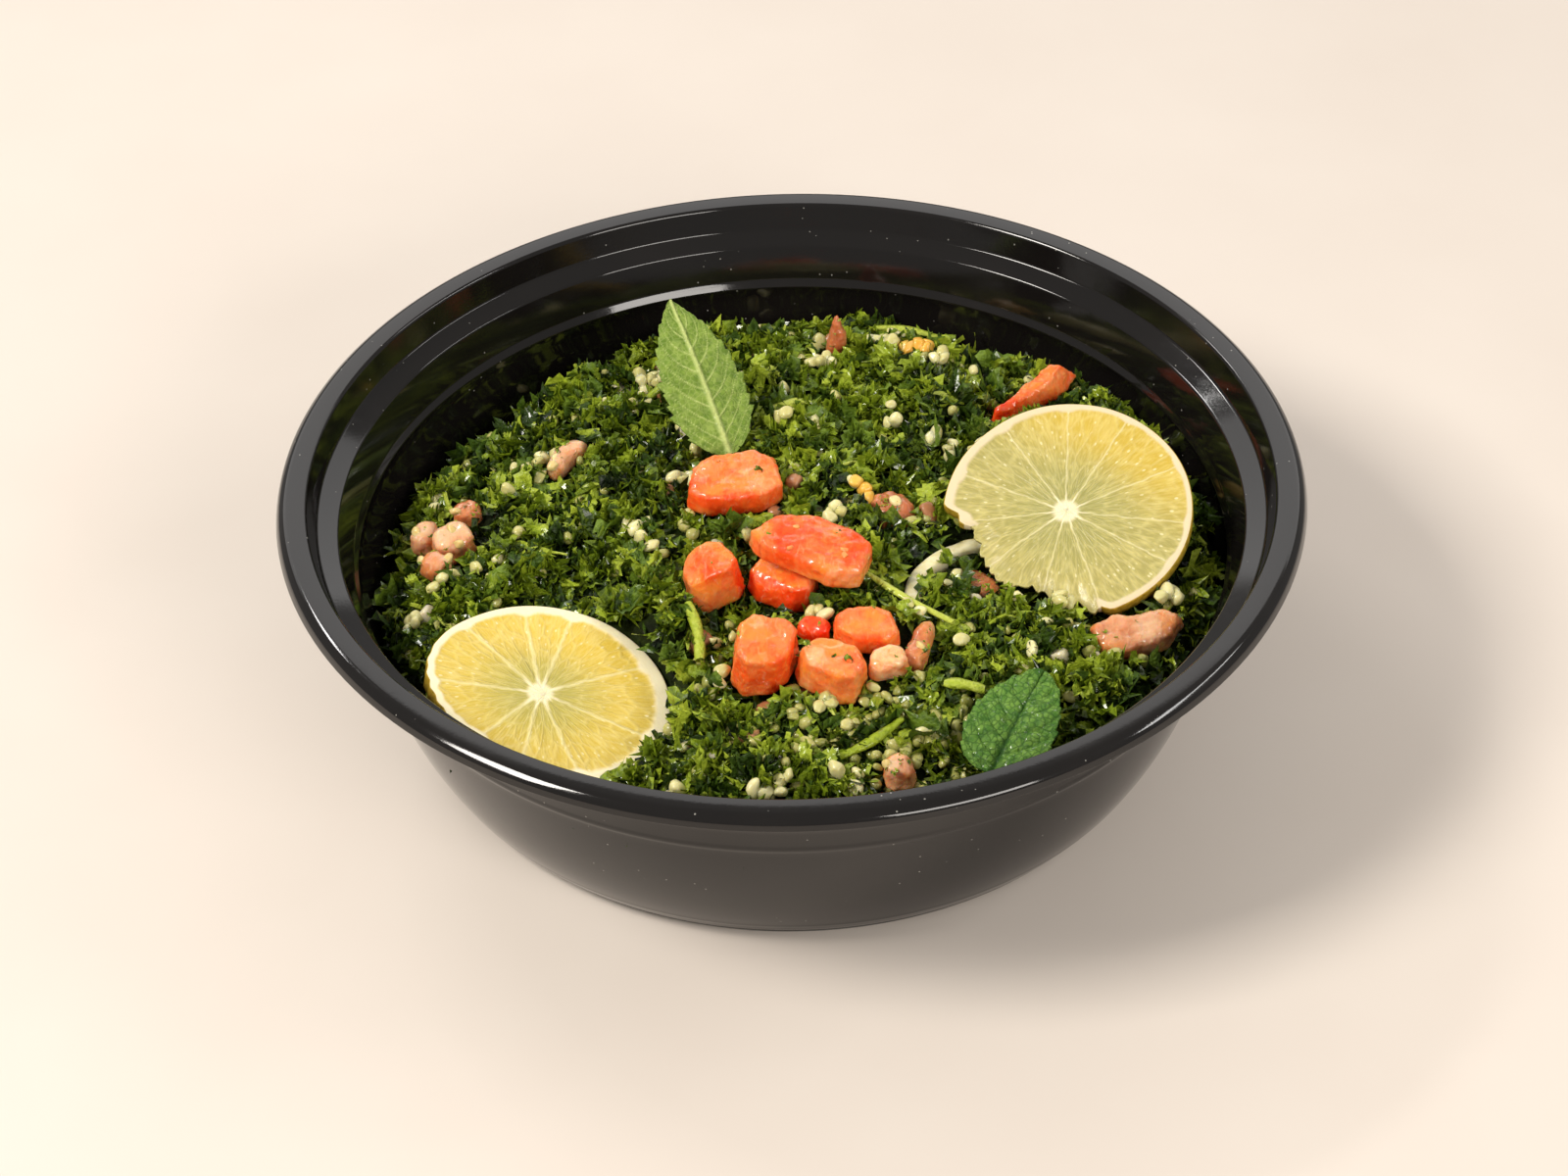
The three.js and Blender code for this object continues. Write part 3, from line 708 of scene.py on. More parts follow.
def join_copies(shapes, choice, points, turns, sizes):
    """Copies of small shapes as one set of points and faces, each point's shade and the copy that it is in."""
    all_points, all_faces, shades, owners = [], [], [], []
    start = 0
    for i, (shape, faces, shade) in enumerate(shapes):
        mine = np.flatnonzero(choice == i)
        if not len(mine):
            continue
        placed = np.einsum("nij,mj->nmi", turns[mine] * sizes[mine, None, None], shape) + points[mine, None]
        offsets = start + np.arange(len(mine)) * len(shape)
        all_points.append(placed.reshape(-1, 3))
        all_faces.append((faces[None] + offsets[:, None, None]).reshape(-1, faces.shape[1]))
        shades.append(np.tile(shade, len(mine)))
        owners.append(np.repeat(mine, len(shape)))
        start += len(mine) * len(shape)
    return np.concatenate(all_points), np.concatenate(all_faces), np.concatenate(shades), np.concatenate(owners)


def scatter(name, shapes, points, sizes, tints, material, lean, rng, smooth=True):
    choice = rng.integers(0, len(shapes), len(points))
    turns = random_turns(rng, len(points), lean)
    joined, faces, shades, owners = join_copies(shapes, choice, points, turns, sizes)
    tint = np.clip(tints[owners] + shades, 0, 1)
    return make_piece(name, joined, faces, material, {"tint": tint}, smooth)


def curled(points, bend):
    """Rolls a flat shape about its Y axis; bend is how many radians it turns for each unit of X."""
    x, y, z = points.T
    if abs(bend) < 1e-3:
        return points
    radius = 1 / bend
    return np.stack([(radius - z) * np.sin(x * bend), y, radius - (radius - z) * np.cos(x * bend)], axis=1)


def fan(rng, blades, rings, span, depth, waves, lift, curl):
    """A toothed, ruffled fan of leaf, one unit from its stalk to its teeth."""
    turn = np.linspace(-span / 2, span / 2, blades + 1)
    teeth = np.where(np.arange(blades + 1) % 2, 1.0, 1 - depth * rng.uniform(0.6, 1.3))
    lobes = 1 - 0.3 * np.abs(np.sin(turn * 1.5 + rng.uniform(-0.3, 0.3)))
    edge = teeth * lobes * rng.uniform(0.85, 1.15, blades + 1)
    ruffle = np.sin(turn * waves + rng.uniform(0, 6)) + 0.5 * np.sin(turn * waves * 2.3 + rng.uniform(0, 6))
    cup = rng.uniform(-0.25, 0.35)
    rows = [np.zeros((1, 3))]
    # Painted light and shade: darker at the stalk and paler towards the teeth, as light shines through thin
    # leaf edges.
    shades = [[-0.2]]
    for reach in np.linspace(0, 1, rings + 1)[1:]:
        outline = reach * (1 + (edge - 1) * reach**2)
        height = lift * reach**1.7 * ruffle + cup * reach**2 + 0.05 * rng.normal(size=blades + 1)
        rows.append(np.stack([outline * np.sin(turn), outline * np.cos(turn), height], axis=1))
        shades.append(np.full(blades + 1, 0.22 * (reach - 0.5)))
    points = np.concatenate(rows)
    inner = 1 + np.arange(blades)
    faces = [np.stack([np.zeros(blades, int), inner + 1, inner], axis=1)]
    for _ in range(rings - 1):
        outer = inner + blades + 1
        faces += [np.stack([inner, inner + 1, outer + 1], axis=1), np.stack([inner, outer + 1, outer], axis=1)]
        inner = outer
    return curled(points, curl), np.concatenate(faces), np.concatenate(shades)


def frill(rng):
    """A small curly parsley tip."""
    return fan(rng, 10, 2, rng.uniform(2.2, 4.6), 0.3, rng.uniform(1.8, 4.0), 0.5, rng.uniform(-1.6, 1.6))


def sprig(rng):
    """A curly sprig: ruffled tips that spread out and up from one point."""
    all_points, all_faces, all_shades = [], [], []
    tips, start = 6, 0
    for i in range(tips):
        points, faces, shade = fan(
            rng, 10, 2, rng.uniform(1.1, 2.6), 0.34, rng.uniform(2.5, 5.5), 0.5, rng.uniform(-2.2, 1.4))
        rise, spin = rng.uniform(0.1, 1.2), 2 * np.pi * (i + rng.uniform(-0.3, 0.3)) / tips
        lift = np.array([[1, 0, 0], [0, np.cos(rise), -np.sin(rise)], [0, np.sin(rise), np.cos(rise)]])
        turn = np.array([[np.cos(spin), -np.sin(spin), 0], [np.sin(spin), np.cos(spin), 0], [0, 0, 1]])
        placed = (points * rng.uniform(0.38, 0.62) + [0, rng.uniform(0, 0.14), 0]) @ lift.T @ turn.T
        all_points.append(placed)
        all_faces.append(faces + start)
        all_shades.append(shade + rng.uniform(-0.12, 0.12))
        start += len(points)
    return np.concatenate(all_points), np.concatenate(all_faces), np.concatenate(all_shades)


def leaf_bit(rng):
    """A cut piece of leaf, crumpled all over, with ragged toothed sides."""
    rows, columns = 10, 8
    along = np.linspace(0, 1, rows)[:, None]
    side = np.linspace(-1, 1, columns)[None]
    half = rng.uniform(0.17, 0.36) * np.sin(np.pi * (0.14 + 0.72 * along)) ** 0.7
    half = half * rng.uniform(0.85, 1.15, (rows, 1))
    notch = (np.arange(rows)[:, None] % 2) * rng.uniform(0.2, 0.6, (rows, 1))
    x = half * side * (1 + notch * (np.abs(side) > 0.9)) + 0.15 * rng.normal() * along
    y = along - 0.5 + 0.03 * rng.normal(size=(rows, columns))
    grid = np.stack([x.ravel(), y.ravel(), np.zeros(x.size)], axis=1)
    shift = rng.uniform(0, 40, 3)
    crumple = smooth_noise(grid, 0.3, shift).reshape(x.shape)
    wrinkle = smooth_noise(grid, 0.15, shift).reshape(x.shape)
    z = rng.uniform(-0.5, 0.8) * np.abs(x) + rng.uniform(-0.8, 0.8) * (along - 0.5) ** 2
    z = z + 0.2 * crumple + 0.09 * wrinkle
    points = np.stack([x, y, z], axis=-1).reshape(-1, 3)
    quads = grid_faces(rows, columns)
    # Painted shade: paler on the crumples' crests and darker in their creases.
    shades = 0.3 * crumple + 0.25 * wrinkle
    triangles = np.concatenate([quads[:, :3], quads[:, [0, 2, 3]]])
    return curled(points, rng.uniform(-1.6, 1.6)), triangles, shades.ravel()


def shred(rng):
    """A narrow twisted strip."""
    rows = 7
    along = np.linspace(-0.5, 0.5, rows)
    width = rng.uniform(0.06, 0.13) * (1 - 0.6 * (2 * along) ** 2)
    twist = rng.uniform(-2.4, 2.4) * along + rng.uniform(0, 3)
    bend, sway = rng.uniform(-0.9, 0.9, 2)
    sides = np.array([-1, 1])
    x = width[:, None] * sides * np.cos(twist)[:, None] + bend * along[:, None] ** 2
    z = width[:, None] * sides * np.sin(twist)[:, None] + sway * along[:, None] ** 2
    y = np.repeat(along[:, None], 2, axis=1)
    points = np.stack([x, y, z], axis=-1).reshape(-1, 3)
    quads = grid_faces(rows, 2)
    return points, np.concatenate([quads[:, :3], quads[:, [0, 2, 3]]]), np.zeros(len(points))


def stalk(rng):
    """A cut length of stalk: a bent tube one unit long."""
    rows, sides = 7, 6
    along = np.linspace(-0.5, 0.5, rows)
    thick = rng.uniform(0.05, 0.085) * (1 + 0.12 * rng.normal(size=rows))
    thick[[0, -1]] *= 0.8
    turn = np.linspace(0, 2 * np.pi, sides, endpoint=False)
    bend, sway = rng.uniform(-0.5, 0.5, 2)
    x = thick[:, None] * np.cos(turn) + bend * along[:, None] ** 2
    z = thick[:, None] * np.sin(turn) + sway * along[:, None] ** 2
    y = np.repeat(along[:, None], sides, axis=1)
    points = np.stack([x, y, z], axis=-1).reshape(-1, 3)
    ends = np.array([[0, -0.5, 0], [0, 0.5, 0]]) + np.array([[bend, 0, sway]]) * 0.25
    points = np.concatenate([points, ends])
    quads = grid_faces(rows, sides, wrap=True)
    triangles = [quads[:, :3], quads[:, [0, 2, 3]]]
    around = np.arange(sides)
    first, last = rows * sides, (rows - 1) * sides
    triangles.append(np.stack([np.full(sides, first), (around + 1) % sides, around], axis=1))
    triangles.append(np.stack([np.full(sides, first + 1), last + around, last + (around + 1) % sides], axis=1))
    return points, np.concatenate(triangles), np.zeros(len(points))


def ball(subdivisions):
    mesh = bmesh.new()
    bmesh.ops.create_icosphere(mesh, subdivisions=subdivisions, radius=0.5)
    points = np.array([vertex.co[:] for vertex in mesh.verts])
    faces = np.array([[vertex.index for vertex in face.verts] for face in mesh.faces])
    mesh.free()
    return points, faces


FINE_BALL = ball(3)
PLAIN_BALL = ball(2)


def grain(rng, shape=FINE_BALL, long=1.4, lumps=0.24):
    """A swollen cracked grain: an uneven ball, longer than wide, with flats and a crease."""
    points, faces = shape
    stretch = np.array([rng.uniform(0.8, 1.0), rng.uniform(1.05, long), rng.uniform(0.7, 0.95)])
    bulge = 1 + lumps * smooth_noise(points, 0.42, rng.uniform(0, 40, 3))
    shaped = points * bulge[:, None]
    for _ in range(3):
        flat = rng.normal(size=3)
        flat /= np.linalg.norm(flat)
        depth = np.maximum(shaped @ flat - rng.uniform(0.28, 0.42), 0) * rng.uniform(0.5, 1.0)
        shaped = shaped - depth[:, None] * flat
    return shaped * stretch, faces, 0.5 * (bulge - 1)


def chunk(rng):
    """A small cut cube with uneven sides."""
    points, faces = FINE_BALL
    squared = points / (np.abs(points).max(axis=1)[:, None] ** 0.75)
    side = rng.uniform(0.6, 1.1, 3)
    uneven = 1 + 0.14 * smooth_noise(points, 0.5, rng.uniform(0, 40, 3))
    return squared * side * uneven[:, None] * 0.8, faces, 0.5 * (uneven - 1)


def scatter_herbs():
    rng = np.random.default_rng(11)

    def tints(points, low, high):
        """Painted shade: darker the deeper a bit lies under the heap's surface and paler where it stands proud,
        with lighter and darker patches over the heap.
        """
        painted_depth_shade = blend_in(points[:, 2] - loose_surface(points[:, 0], points[:, 1]), -2.2 * MM, 1.0 * MM)
        patch = smooth_noise(points * [1, 1, 0], 9 * MM, 4.2)
        return rng.uniform(low, high, len(points)) * (0.45 + 0.55 * painted_depth_shade) + 0.15 * patch

    # The darkest stops are painted shade for bits deep in the gaps, reached through the tint; the other stops
    # are the leaves' own greens.
    dark = herb_leaf("parsley_dark", (0.004, 0.011, 0.001), (0.046, 0.092, 0.006), (0.17, 0.26, 0.020))
    green = herb_leaf("parsley_green", (0.022, 0.045, 0.001), (0.170, 0.245, 0.007), (0.40, 0.49, 0.035))
    lime = herb_leaf("parsley_lime", (0.10, 0.14, 0.004), (0.30, 0.38, 0.02), (0.58, 0.64, 0.12))
    stalks = herb_leaf("parsley_stalk", (0.13, 0.18, 0.006), (0.33, 0.42, 0.02), (0.56, 0.62, 0.09))

    def spread(name, make, kinds, count, size, depth, range_of_tint, material, lean):
        points = places_on_heap(rng, count, 0.6 * size[1] * MM, depth[0] * MM, depth[1] * MM, 0.6)
        sizes = rng.uniform(*size, len(points)) * MM
        shapes = [make(rng) for _ in range(kinds)]
        shades = tints(points, *range_of_tint)
        return scatter(name, shapes, points, sizes, shades, material, lean, rng, smooth=False)

    spread("parsley_frills_dark", frill, 18, 3500, (2.0, 4.2), (-2.8, -0.2), (0.0, 1), dark, 0.9)
    spread("parsley_frills_green", frill, 18, 1800, (1.6, 3.6), (-1.4, 0.8), (0.0, 1), green, 0.9)
    spread("parsley_sprigs_dark", sprig, 16, 480, (4.6, 9.0), (-2.2, -0.2), (0.1, 1), dark, 0.6)
    spread("parsley_sprigs_green", sprig, 22, 930, (3.8, 8.2), (-1.6, 0.3), (0.1, 0.95), green, 0.6)
    spread("parsley_sprigs_lime", sprig, 12, 170, (2.0, 4.0), (-1.0, 0.4), (0.0, 0.7), lime, 0.5)
    spread("parsley_leaf_dark", leaf_bit, 18, 620, (3.8, 8.4), (-1.4, 0.6), (0.2, 1), dark, 0.6)
    spread("parsley_leaf_green", leaf_bit, 20, 800, (3.0, 7.2), (-0.9, 0.8), (0.25, 1), green, 0.6)
    spread("parsley_shreds", shred, 16, 2500, (2.6, 6.6), (-1.3, 1.0), (0.0, 1), green, 0.5)
    spread("parsley_shreds_lime", shred, 12, 760, (2.0, 5.0), (-0.8, 1.0), (0.0, 0.8), lime, 0.5)
    spread("parsley_stalks", stalk, 12, 270, (3.0, 7.5), (-0.9, 0.7), (0.0, 0.9), stalks, 0.3)
    place_stems(stalks)


# The longer stems on top of the heap: how many, with the ranges of their length and half thickness.
LONG_STEM_COUNT = 9
LONG_STEM_LENGTHS = (6 * MM, 20 * MM)
LONG_STEM_THICKNESSES = (0.5 * MM, 1.3 * MM)
WALL_ROOM = 4 * MM


def long_stem(rng):
    """The two ends, in plan, of a stem that lies on the heap clear of the larger pieces and the wall."""
    while True:
        middle = rng.uniform(-RIM_RADIUS, RIM_RADIUS, 2)
        heading = rng.uniform(0, 2 * np.pi)
        length = rng.uniform(*LONG_STEM_LENGTHS)
        way = np.array([np.cos(heading), np.sin(heading)])
        flat = middle + way * length * np.linspace(-0.5, 0.5, 9)[:, None]
        x, y = flat.T
        z = loose_surface(x, y)
        room = inside_radius(z) - np.hypot(x, y)
        if not (np.isfinite(z) & (room > WALL_ROOM)).all():
            continue
        if len(clear_of_toppings(np.stack([x, y, z], axis=1), 1.5 * MM)) == len(flat):
            return flat[0], flat[-1]


def place_stems(material):
    """Longer stems: thin bent tubes that lie over the heap between two places."""
    rng = np.random.default_rng(61)
    rows, sides = 16, 8
    along = np.linspace(0, 1, rows)
    turn = np.linspace(0, 2 * np.pi, sides, endpoint=False)
    all_points, all_faces, shades = [], [], []
    for i in range(LONG_STEM_COUNT):
        start, end = long_stem(rng)
        thick = rng.uniform(*LONG_STEM_THICKNESSES)
        flat = start + (end - start) * along[:, None]
        beside = np.array([start[1] - end[1], end[0] - start[0]]) / np.linalg.norm(end - start)
        flat = flat + beside * (0.06 * np.linalg.norm(end - start) * np.sin(np.pi * along) * (-1) ** i)[:, None]
        height = np.polyval(np.polyfit(along, loose_surface(*flat.T), 2), along) + 2.3 * MM
        taper = 0.35 + 0.65 * np.sin(np.pi * (0.06 + 0.88 * along)) ** 0.4
        width = thick * (1 + 0.12 * np.sin(along * 9 + i)) * taper
        across = width[:, None] * np.cos(turn)
        ring = np.stack([
            flat[:, :1] + beside[0] * across, flat[:, 1:] + beside[1] * across,
            height[:, None] + 0.7 * width[:, None] * np.sin(turn),
        ], axis=-1)
        all_faces.append(grid_faces(rows, sides, wrap=True) + i * rows * sides)
        all_points.append(ring.reshape(-1, 3))
        shades.append(np.full(rows * sides, 0.35 + 0.3 * (i % 3)))
    make_piece("parsley_stems", np.concatenate(all_points), np.concatenate(all_faces),
               material, {"tint": np.concatenate(shades)})


# Grains stick together in clumps, most of them small.
BULGUR_CLUMP_COUNT = 50
ORANGE_CLUMP_COUNT = 5
LARGEST_CLUMP = 9
MASHED_COUNT = 190
CLUMP_REACH = 0.8 * RIM_RADIUS


def clumps_on_heap(rng, count):
    """The middle in plan and the number of grains of clumps spread over the heap."""
    radius = CLUMP_REACH * np.sqrt(rng.uniform(0, 1, count))
    turn = rng.uniform(0, 2 * np.pi, count)
    places = np.stack([radius * np.cos(turn), radius * np.sin(turn)], axis=1)
    grains = 1 + (LARGEST_CLUMP * rng.uniform(0, 1, count) ** 2).astype(int)
    return list(zip(places, grains))


def clump_places(rng, clumps):
    """Grains of each clump, each one stuck to another of the same clump."""
    points = []
    for place, count in clumps:
        clump = [place / MM]
        while len(clump) < count:
            turn = rng.uniform(0, 2 * np.pi)
            way = np.array([np.cos(turn), np.sin(turn)])
            beside = clump[rng.integers(len(clump))] + rng.uniform(1.4, 2.0) * way
            if min(np.hypot(*(beside - other)) for other in clump) > 1.3:
                clump.append(beside)
        points += clump
    x, y = np.array(points).T * MM
    z = loose_surface(x, y) + rng.uniform(1.4, 2.6, len(x)) * MM
    room = inside_radius(z) - np.hypot(x, y)
    return np.stack([x, y, z], axis=1)[np.isfinite(z) & (room > 2 * MM)]


def scatter_grains():
    rng = np.random.default_rng(23)
    pale = cooked_grain("bulgur_pale", (0.80, 0.74, 0.40), (0.54, 0.50, 0.17), 0.5)
    green = cooked_grain("bulgur_green", (0.56, 0.52, 0.18), (0.20, 0.22, 0.03), 0.5)
    shapes = [grain(rng) for _ in range(20)]
    plain_shapes = [grain(rng, PLAIN_BALL) for _ in range(16)]

    clumped = clump_places(rng, clumps_on_heap(rng, BULGUR_CLUMP_COUNT))
    single = places_on_heap(rng, 110, 2.4 * MM, 0.0 * MM, 1.2 * MM)
    points = clear_of_toppings(np.concatenate([clumped, single]), 1 * MM)
    sizes = rng.uniform(2.0, 3.0, len(points)) * MM
    scatter("bulgur_grains", shapes, points, sizes, rng.uniform(0, 1, len(points)), pale, 1.2, rng)

    along, across = rng.normal(17, 14, MASHED_COUNT), rng.normal(-58, 6, MASHED_COUNT)
    mashed = np.stack([along, across], axis=1) * MM
    height = loose_surface(*mashed.T) + rng.uniform(-0.6, 0.8, MASHED_COUNT) * MM
    mashed = clear_of_toppings(np.column_stack([mashed, height])[np.hypot(*mashed.T) < 71 * MM], 1 * MM)
    points = np.concatenate([mashed, places_on_heap(rng, 320, 2.2 * MM, -0.9 * MM, 0.6 * MM, 0.5)])
    sizes = rng.uniform(1.7, 2.8, len(points)) * MM
    scatter("bulgur_soaked", plain_shapes, points, sizes, rng.uniform(0, 1, len(points)), green, 1.2, rng)


def scatter_bits():
    rng = np.random.default_rng(31)
    points = clear_of_toppings(clump_places(rng, clumps_on_heap(rng, ORANGE_CLUMP_COUNT)), 1 * MM)
    stained = cooked_grain("bulgur_stained", (0.88, 0.62, 0.14), (0.80, 0.38, 0.03))
    scatter("bulgur_orange", [grain(rng) for _ in range(6)], points, np.full(len(points), 2.7 * MM),
            rng.uniform(0, 1, len(points)), stained, 0.8, rng)

    points = places_on_heap(rng, 30, 3 * MM, -1.2 * MM, 0.0 * MM, 0.5)
    sizes = rng.uniform(1.8, 3.6, len(points)) * MM
    pink = cooked_grain("tomato_bit", (0.52, 0.25, 0.11), (0.34, 0.13, 0.05), 0.4)
    scatter("tomato_bits", [chunk(rng) for _ in range(8)], points, sizes,
            rng.uniform(0, 1, len(points)), pink, 0.8, rng)

    points = places_on_heap(rng, 26, 3 * MM, -0.6 * MM, 0.5 * MM, 0.5)
    sizes = rng.uniform(1.6, 3.0, len(points)) * MM
    clear = cooked_grain("onion_bit", (0.80, 0.70, 0.52), (0.55, 0.50, 0.30), 0.5)
    scatter("onion_bits", [chunk(rng) for _ in range(8)], points, sizes,
            rng.uniform(0, 1, len(points)), clear, 0.8, rng)


def places_on_pieces(rng, nodes, count):
    """Points on the upper sides of some of the pieces that lie on the heap."""
    tree = tree_of(nodes)
    boxes = [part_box(node) for node in nodes]
    hits = []
    while len(hits) < count:
        low, high = boxes[rng.integers(len(boxes))]
        start = Vector((rng.uniform(low.x, high.x), rng.uniform(low.y, high.y), 1))
        hit = tree.ray_cast(start, Vector((0, 0, -1)))[0]
        if hit is not None:
            hits.append(tuple(hit))
    return np.array(hits)


SEED_COUNT = 4


def scatter_crumbs():
    """Crumbs of herb and a few grains that stick to the tomato, and the seeds of the largest dice."""
    rng = np.random.default_rng(47)
    soaked = [node for node in TOMATO_NODES if node.startswith(SOAKED_TOMATO) and node != "tomato_spike"]
    leaves = herb_leaf("herb_crumb", (0.022, 0.045, 0.001), (0.15, 0.22, 0.006), (0.36, 0.44, 0.03))
    points = np.concatenate([places_on_pieces(rng, soaked, 90), places_on_pieces(rng, TOMATO_NODES, 45)])
    sizes = rng.uniform(0.7, 1.9, len(points)) * MM
    scatter("parsley_crumbs", [leaf_bit(rng) for _ in range(8)], points, sizes,
            rng.uniform(0, 1, len(points)), leaves, 0.4, rng, smooth=False)

    points = places_on_pieces(rng, soaked, 12)
    grains = cooked_grain("bulgur_on_tomato", (0.84, 0.72, 0.36), (0.66, 0.46, 0.16), 0.5)
    scatter("bulgur_stuck", [grain(rng) for _ in range(8)], points, rng.uniform(1.5, 2.4, len(points)) * MM,
            rng.uniform(0, 1, len(points)), grains, 0.8, rng)

    points = places_on_pieces(rng, ["tomato_dice_3"], SEED_COUNT)
    seed = cooked_grain("tomato_seed", (0.95, 0.40, 0.12), (0.90, 0.22, 0.05), 0.7)
    scatter("tomato_seeds", [grain(rng) for _ in range(4)], points,
            rng.uniform(1.2, 1.6, len(points)) * MM, rng.uniform(0, 1, len(points)), seed, 0.3, rng)


# ------------------------------------------------------------------ tomato
# Slanting knife cuts: the way each cut face looks, and how much of the piece's reach that way it leaves.
TOMATO_CUTS = {
    "tomato_dice_2": (((-1, -0.3, 1), 0.7),),
    "tomato_dice_3": (((1, 1, 0), 0.85),),
    "tomato_dice_4": (((-0.6, -1, 0.8), 0.8),),
    "tomato_dice_5": (((1, -0.5, -0.8), 0.85),),
    "tomato_dice_7": (((-1, -1, 0), 0.85),),
    "tomato_wedge": (((-1, 1, 0.6), 0.5), ((1, -1, 0.5), 0.75)),
    "tomato_spike": (((1, 0, 0.3), 0.5), ((-1, 0, 0.1), 0.6), ((0, -1, 0.2), 0.6)),
}
CORNER_CUTS = 2

# How pale each piece is on its upper, front and right-hand cut faces, from 0 for deep red to 1 for cream:
# partly the flesh's own colour and partly painted light and shade by which way each face looks.
TOMATO_FACE_TONES_AND_SHADE = {
    "tomato_dice_1": (0.60, 0.36, 0.5), "tomato_dice_2": (0.52, 0.56, 0.12),
    "tomato_dice_3": (0.46, 0.56, 0.5),
    "tomato_dice_4": (0.66, 0.22, 0.3), "tomato_dice_5": (0.62, 0.48, 0.42),
    "tomato_dice_6": (0.72, 0.56, 0.70),
    "tomato_dice_7": (0.54, 0.44, 0.42), "tomato_dice_8": (1.0, 0.95, 0.9), "tomato_dice_9": (0.3, 0.2, 0.2),
    "tomato_spike": (0.5, 0.3, 0.5), "tomato_pulp": (0.62, 0.48, 0.55), "tomato_wedge": (0.3, 0.42, 0.4),
    "tomato_left_1": (1.0, 0.7, 0.7), "tomato_left_2": (0.9, 0.7, 0.7), "tomato_left_3": (0.8, 0.6, 0.6),
    "tomato_strip_back": (0.95, 0.8, 0.8), "tomato_strip_right": (0.75, 0.55, 0.55),
    "tomato_front": (0.8, 0.55, 0.5),
}
SOAKED_TOMATO = ("tomato_left", "tomato_strip", "tomato_pulp", "tomato_under", "tomato_front", "tomato_spike")


def cut_block(node, seed):
    """The node's own block after its knife cuts and a few small ones that take off corners."""
    rng = np.random.default_rng(seed)
    block = bmesh.new()
    block.from_mesh(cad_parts[node].data)
    low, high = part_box(node)
    middle = (low + high) / 2
    corners = [(rng.normal(size=3), rng.uniform(0.88, 0.97)) for _ in range(CORNER_CUTS)]
    for facing, left in (*TOMATO_CUTS.get(node, ()), *corners):
        facing = Vector(facing).normalized()
        reach = max((vertex.co - middle).dot(facing) for vertex in block.verts)
        bmesh.ops.bisect_plane(
            block, geom=[*block.verts, *block.edges, *block.faces],
            plane_co=middle + facing * reach * left, plane_no=facing, clear_outer=True)
    places = [vertex.co.copy() for vertex in block.verts]
    block.free()
    hull = bmesh.new()
    bmesh.ops.convex_hull(hull, input=[hull.verts.new(place) for place in places])
    bmesh.ops.recalc_face_normals(hull, faces=hull.faces)
    mesh = bpy.data.meshes.new("block")
    hull.to_mesh(mesh)
    hull.free()
    return mesh


def make_tomato(node, material, seed):
    """A cut piece with uneven faces; its paleness follows the way each face looks, partly the flesh's own
    colour and partly painted light and shade.
    """
    points, faces, normals = remeshed(cut_block(node, int(seed * 10)), 0.33 * MM, 3)
    broad = smooth_noise(points, 4.2 * MM, seed)
    dents = np.minimum(smooth_noise(points, 2.4 * MM, seed + 9), 0.0)
    fine = smooth_noise(points, 0.8 * MM, seed + 3)
    soft = 1.0 if node.startswith("tomato_dice") else 1.6
    push = soft * (0.24 * MM * broad + 0.34 * MM * dents + 0.13 * MM * fine)
    upper, front, right = TOMATO_FACE_TONES_AND_SHADE.get(node, (0.45, 0.4, 0.4))
    up_share = np.clip(normals[:, 2], 0, 1) ** 2
    right_share = np.clip(normals[:, 0], 0, 1) ** 2 * (1 - up_share)
    shade = upper * up_share + right * right_share + front * (1 - up_share - right_share)
    shade = shade + 0.26 * smooth_noise(points, 4 * MM, seed + 5)
    swell = (0.35 if node.startswith(SOAKED_TOMATO) else 0.12) * MM
    points = points + normals * (push + swell)[:, None]
    return make_piece(node + "_flesh", points, faces, material, {"tint": shade})


def make_tomatoes():
    fresh = tomato_flesh("tomato_fresh", (0.78, 0.030, 0.001), (0.92, 0.115, 0.012), (0.94, 0.27, 0.07),
                         (0.95, 0.54, 0.28), (0.96, 0.27, 0.03), 0.75)
    soaked = tomato_flesh("tomato_soaked", (0.36, 0.08, 0.02), (0.54, 0.17, 0.06), (0.72, 0.33, 0.16),
                          (0.80, 0.48, 0.27), (0.70, 0.24, 0.05), 0.6)
    for i, node in enumerate(TOMATO_NODES):
        piece = make_tomato(node, soaked if node.startswith(SOAKED_TOMATO) else fresh, 3.7 * i)
        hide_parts(node)


# ------------------------------------------------------------------ lemon
def middle_and_axis(node):
    """A turned disc's upper middle and its axis, found where most of its facets meet."""
    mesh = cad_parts[node].data
    mesh.calc_loop_triangles()
    counts = {}
    for triangle in mesh.loop_triangles:
        for i in triangle.vertices:
            key = tuple(round(value, 6) for value in mesh.vertices[i].co)
            counts[key] = counts.get(key, 0) + 1
    lower, upper = sorted(sorted(counts, key=counts.get)[-2:], key=lambda point: point[2])
    return Vector(upper), (Vector(upper) - Vector(lower))


def frame_at(origin, up, heading):
    """A piece's own frame: Z along up and Y as near to heading as it can be."""
    up = up.normalized()
    across = heading.cross(up).normalized()
    along = up.cross(across)
    rows = Matrix((across, along, up)).transposed().to_4x4()
    rows.translation = origin
    return rows


def outline_of(node, at):
    """The node's outline round its middle: its radius for each direction, in degrees from -180 to 180."""
    back = at.inverted()
    points = np.array([(back @ vertex.co)[:2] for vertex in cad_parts[node].data.vertices])
    turn = np.degrees(np.arctan2(points[:, 1], points[:, 0]))
    reach = np.hypot(*points.T)
    steps = np.arange(-180, 180, 5)
    radii = [reach[np.abs((turn - step + 180) % 360 - 180) < 6].max() for step in steps]
    return lambda degrees: np.interp(degrees, np.arange(-180, 181, 5), [*radii, radii[0]])


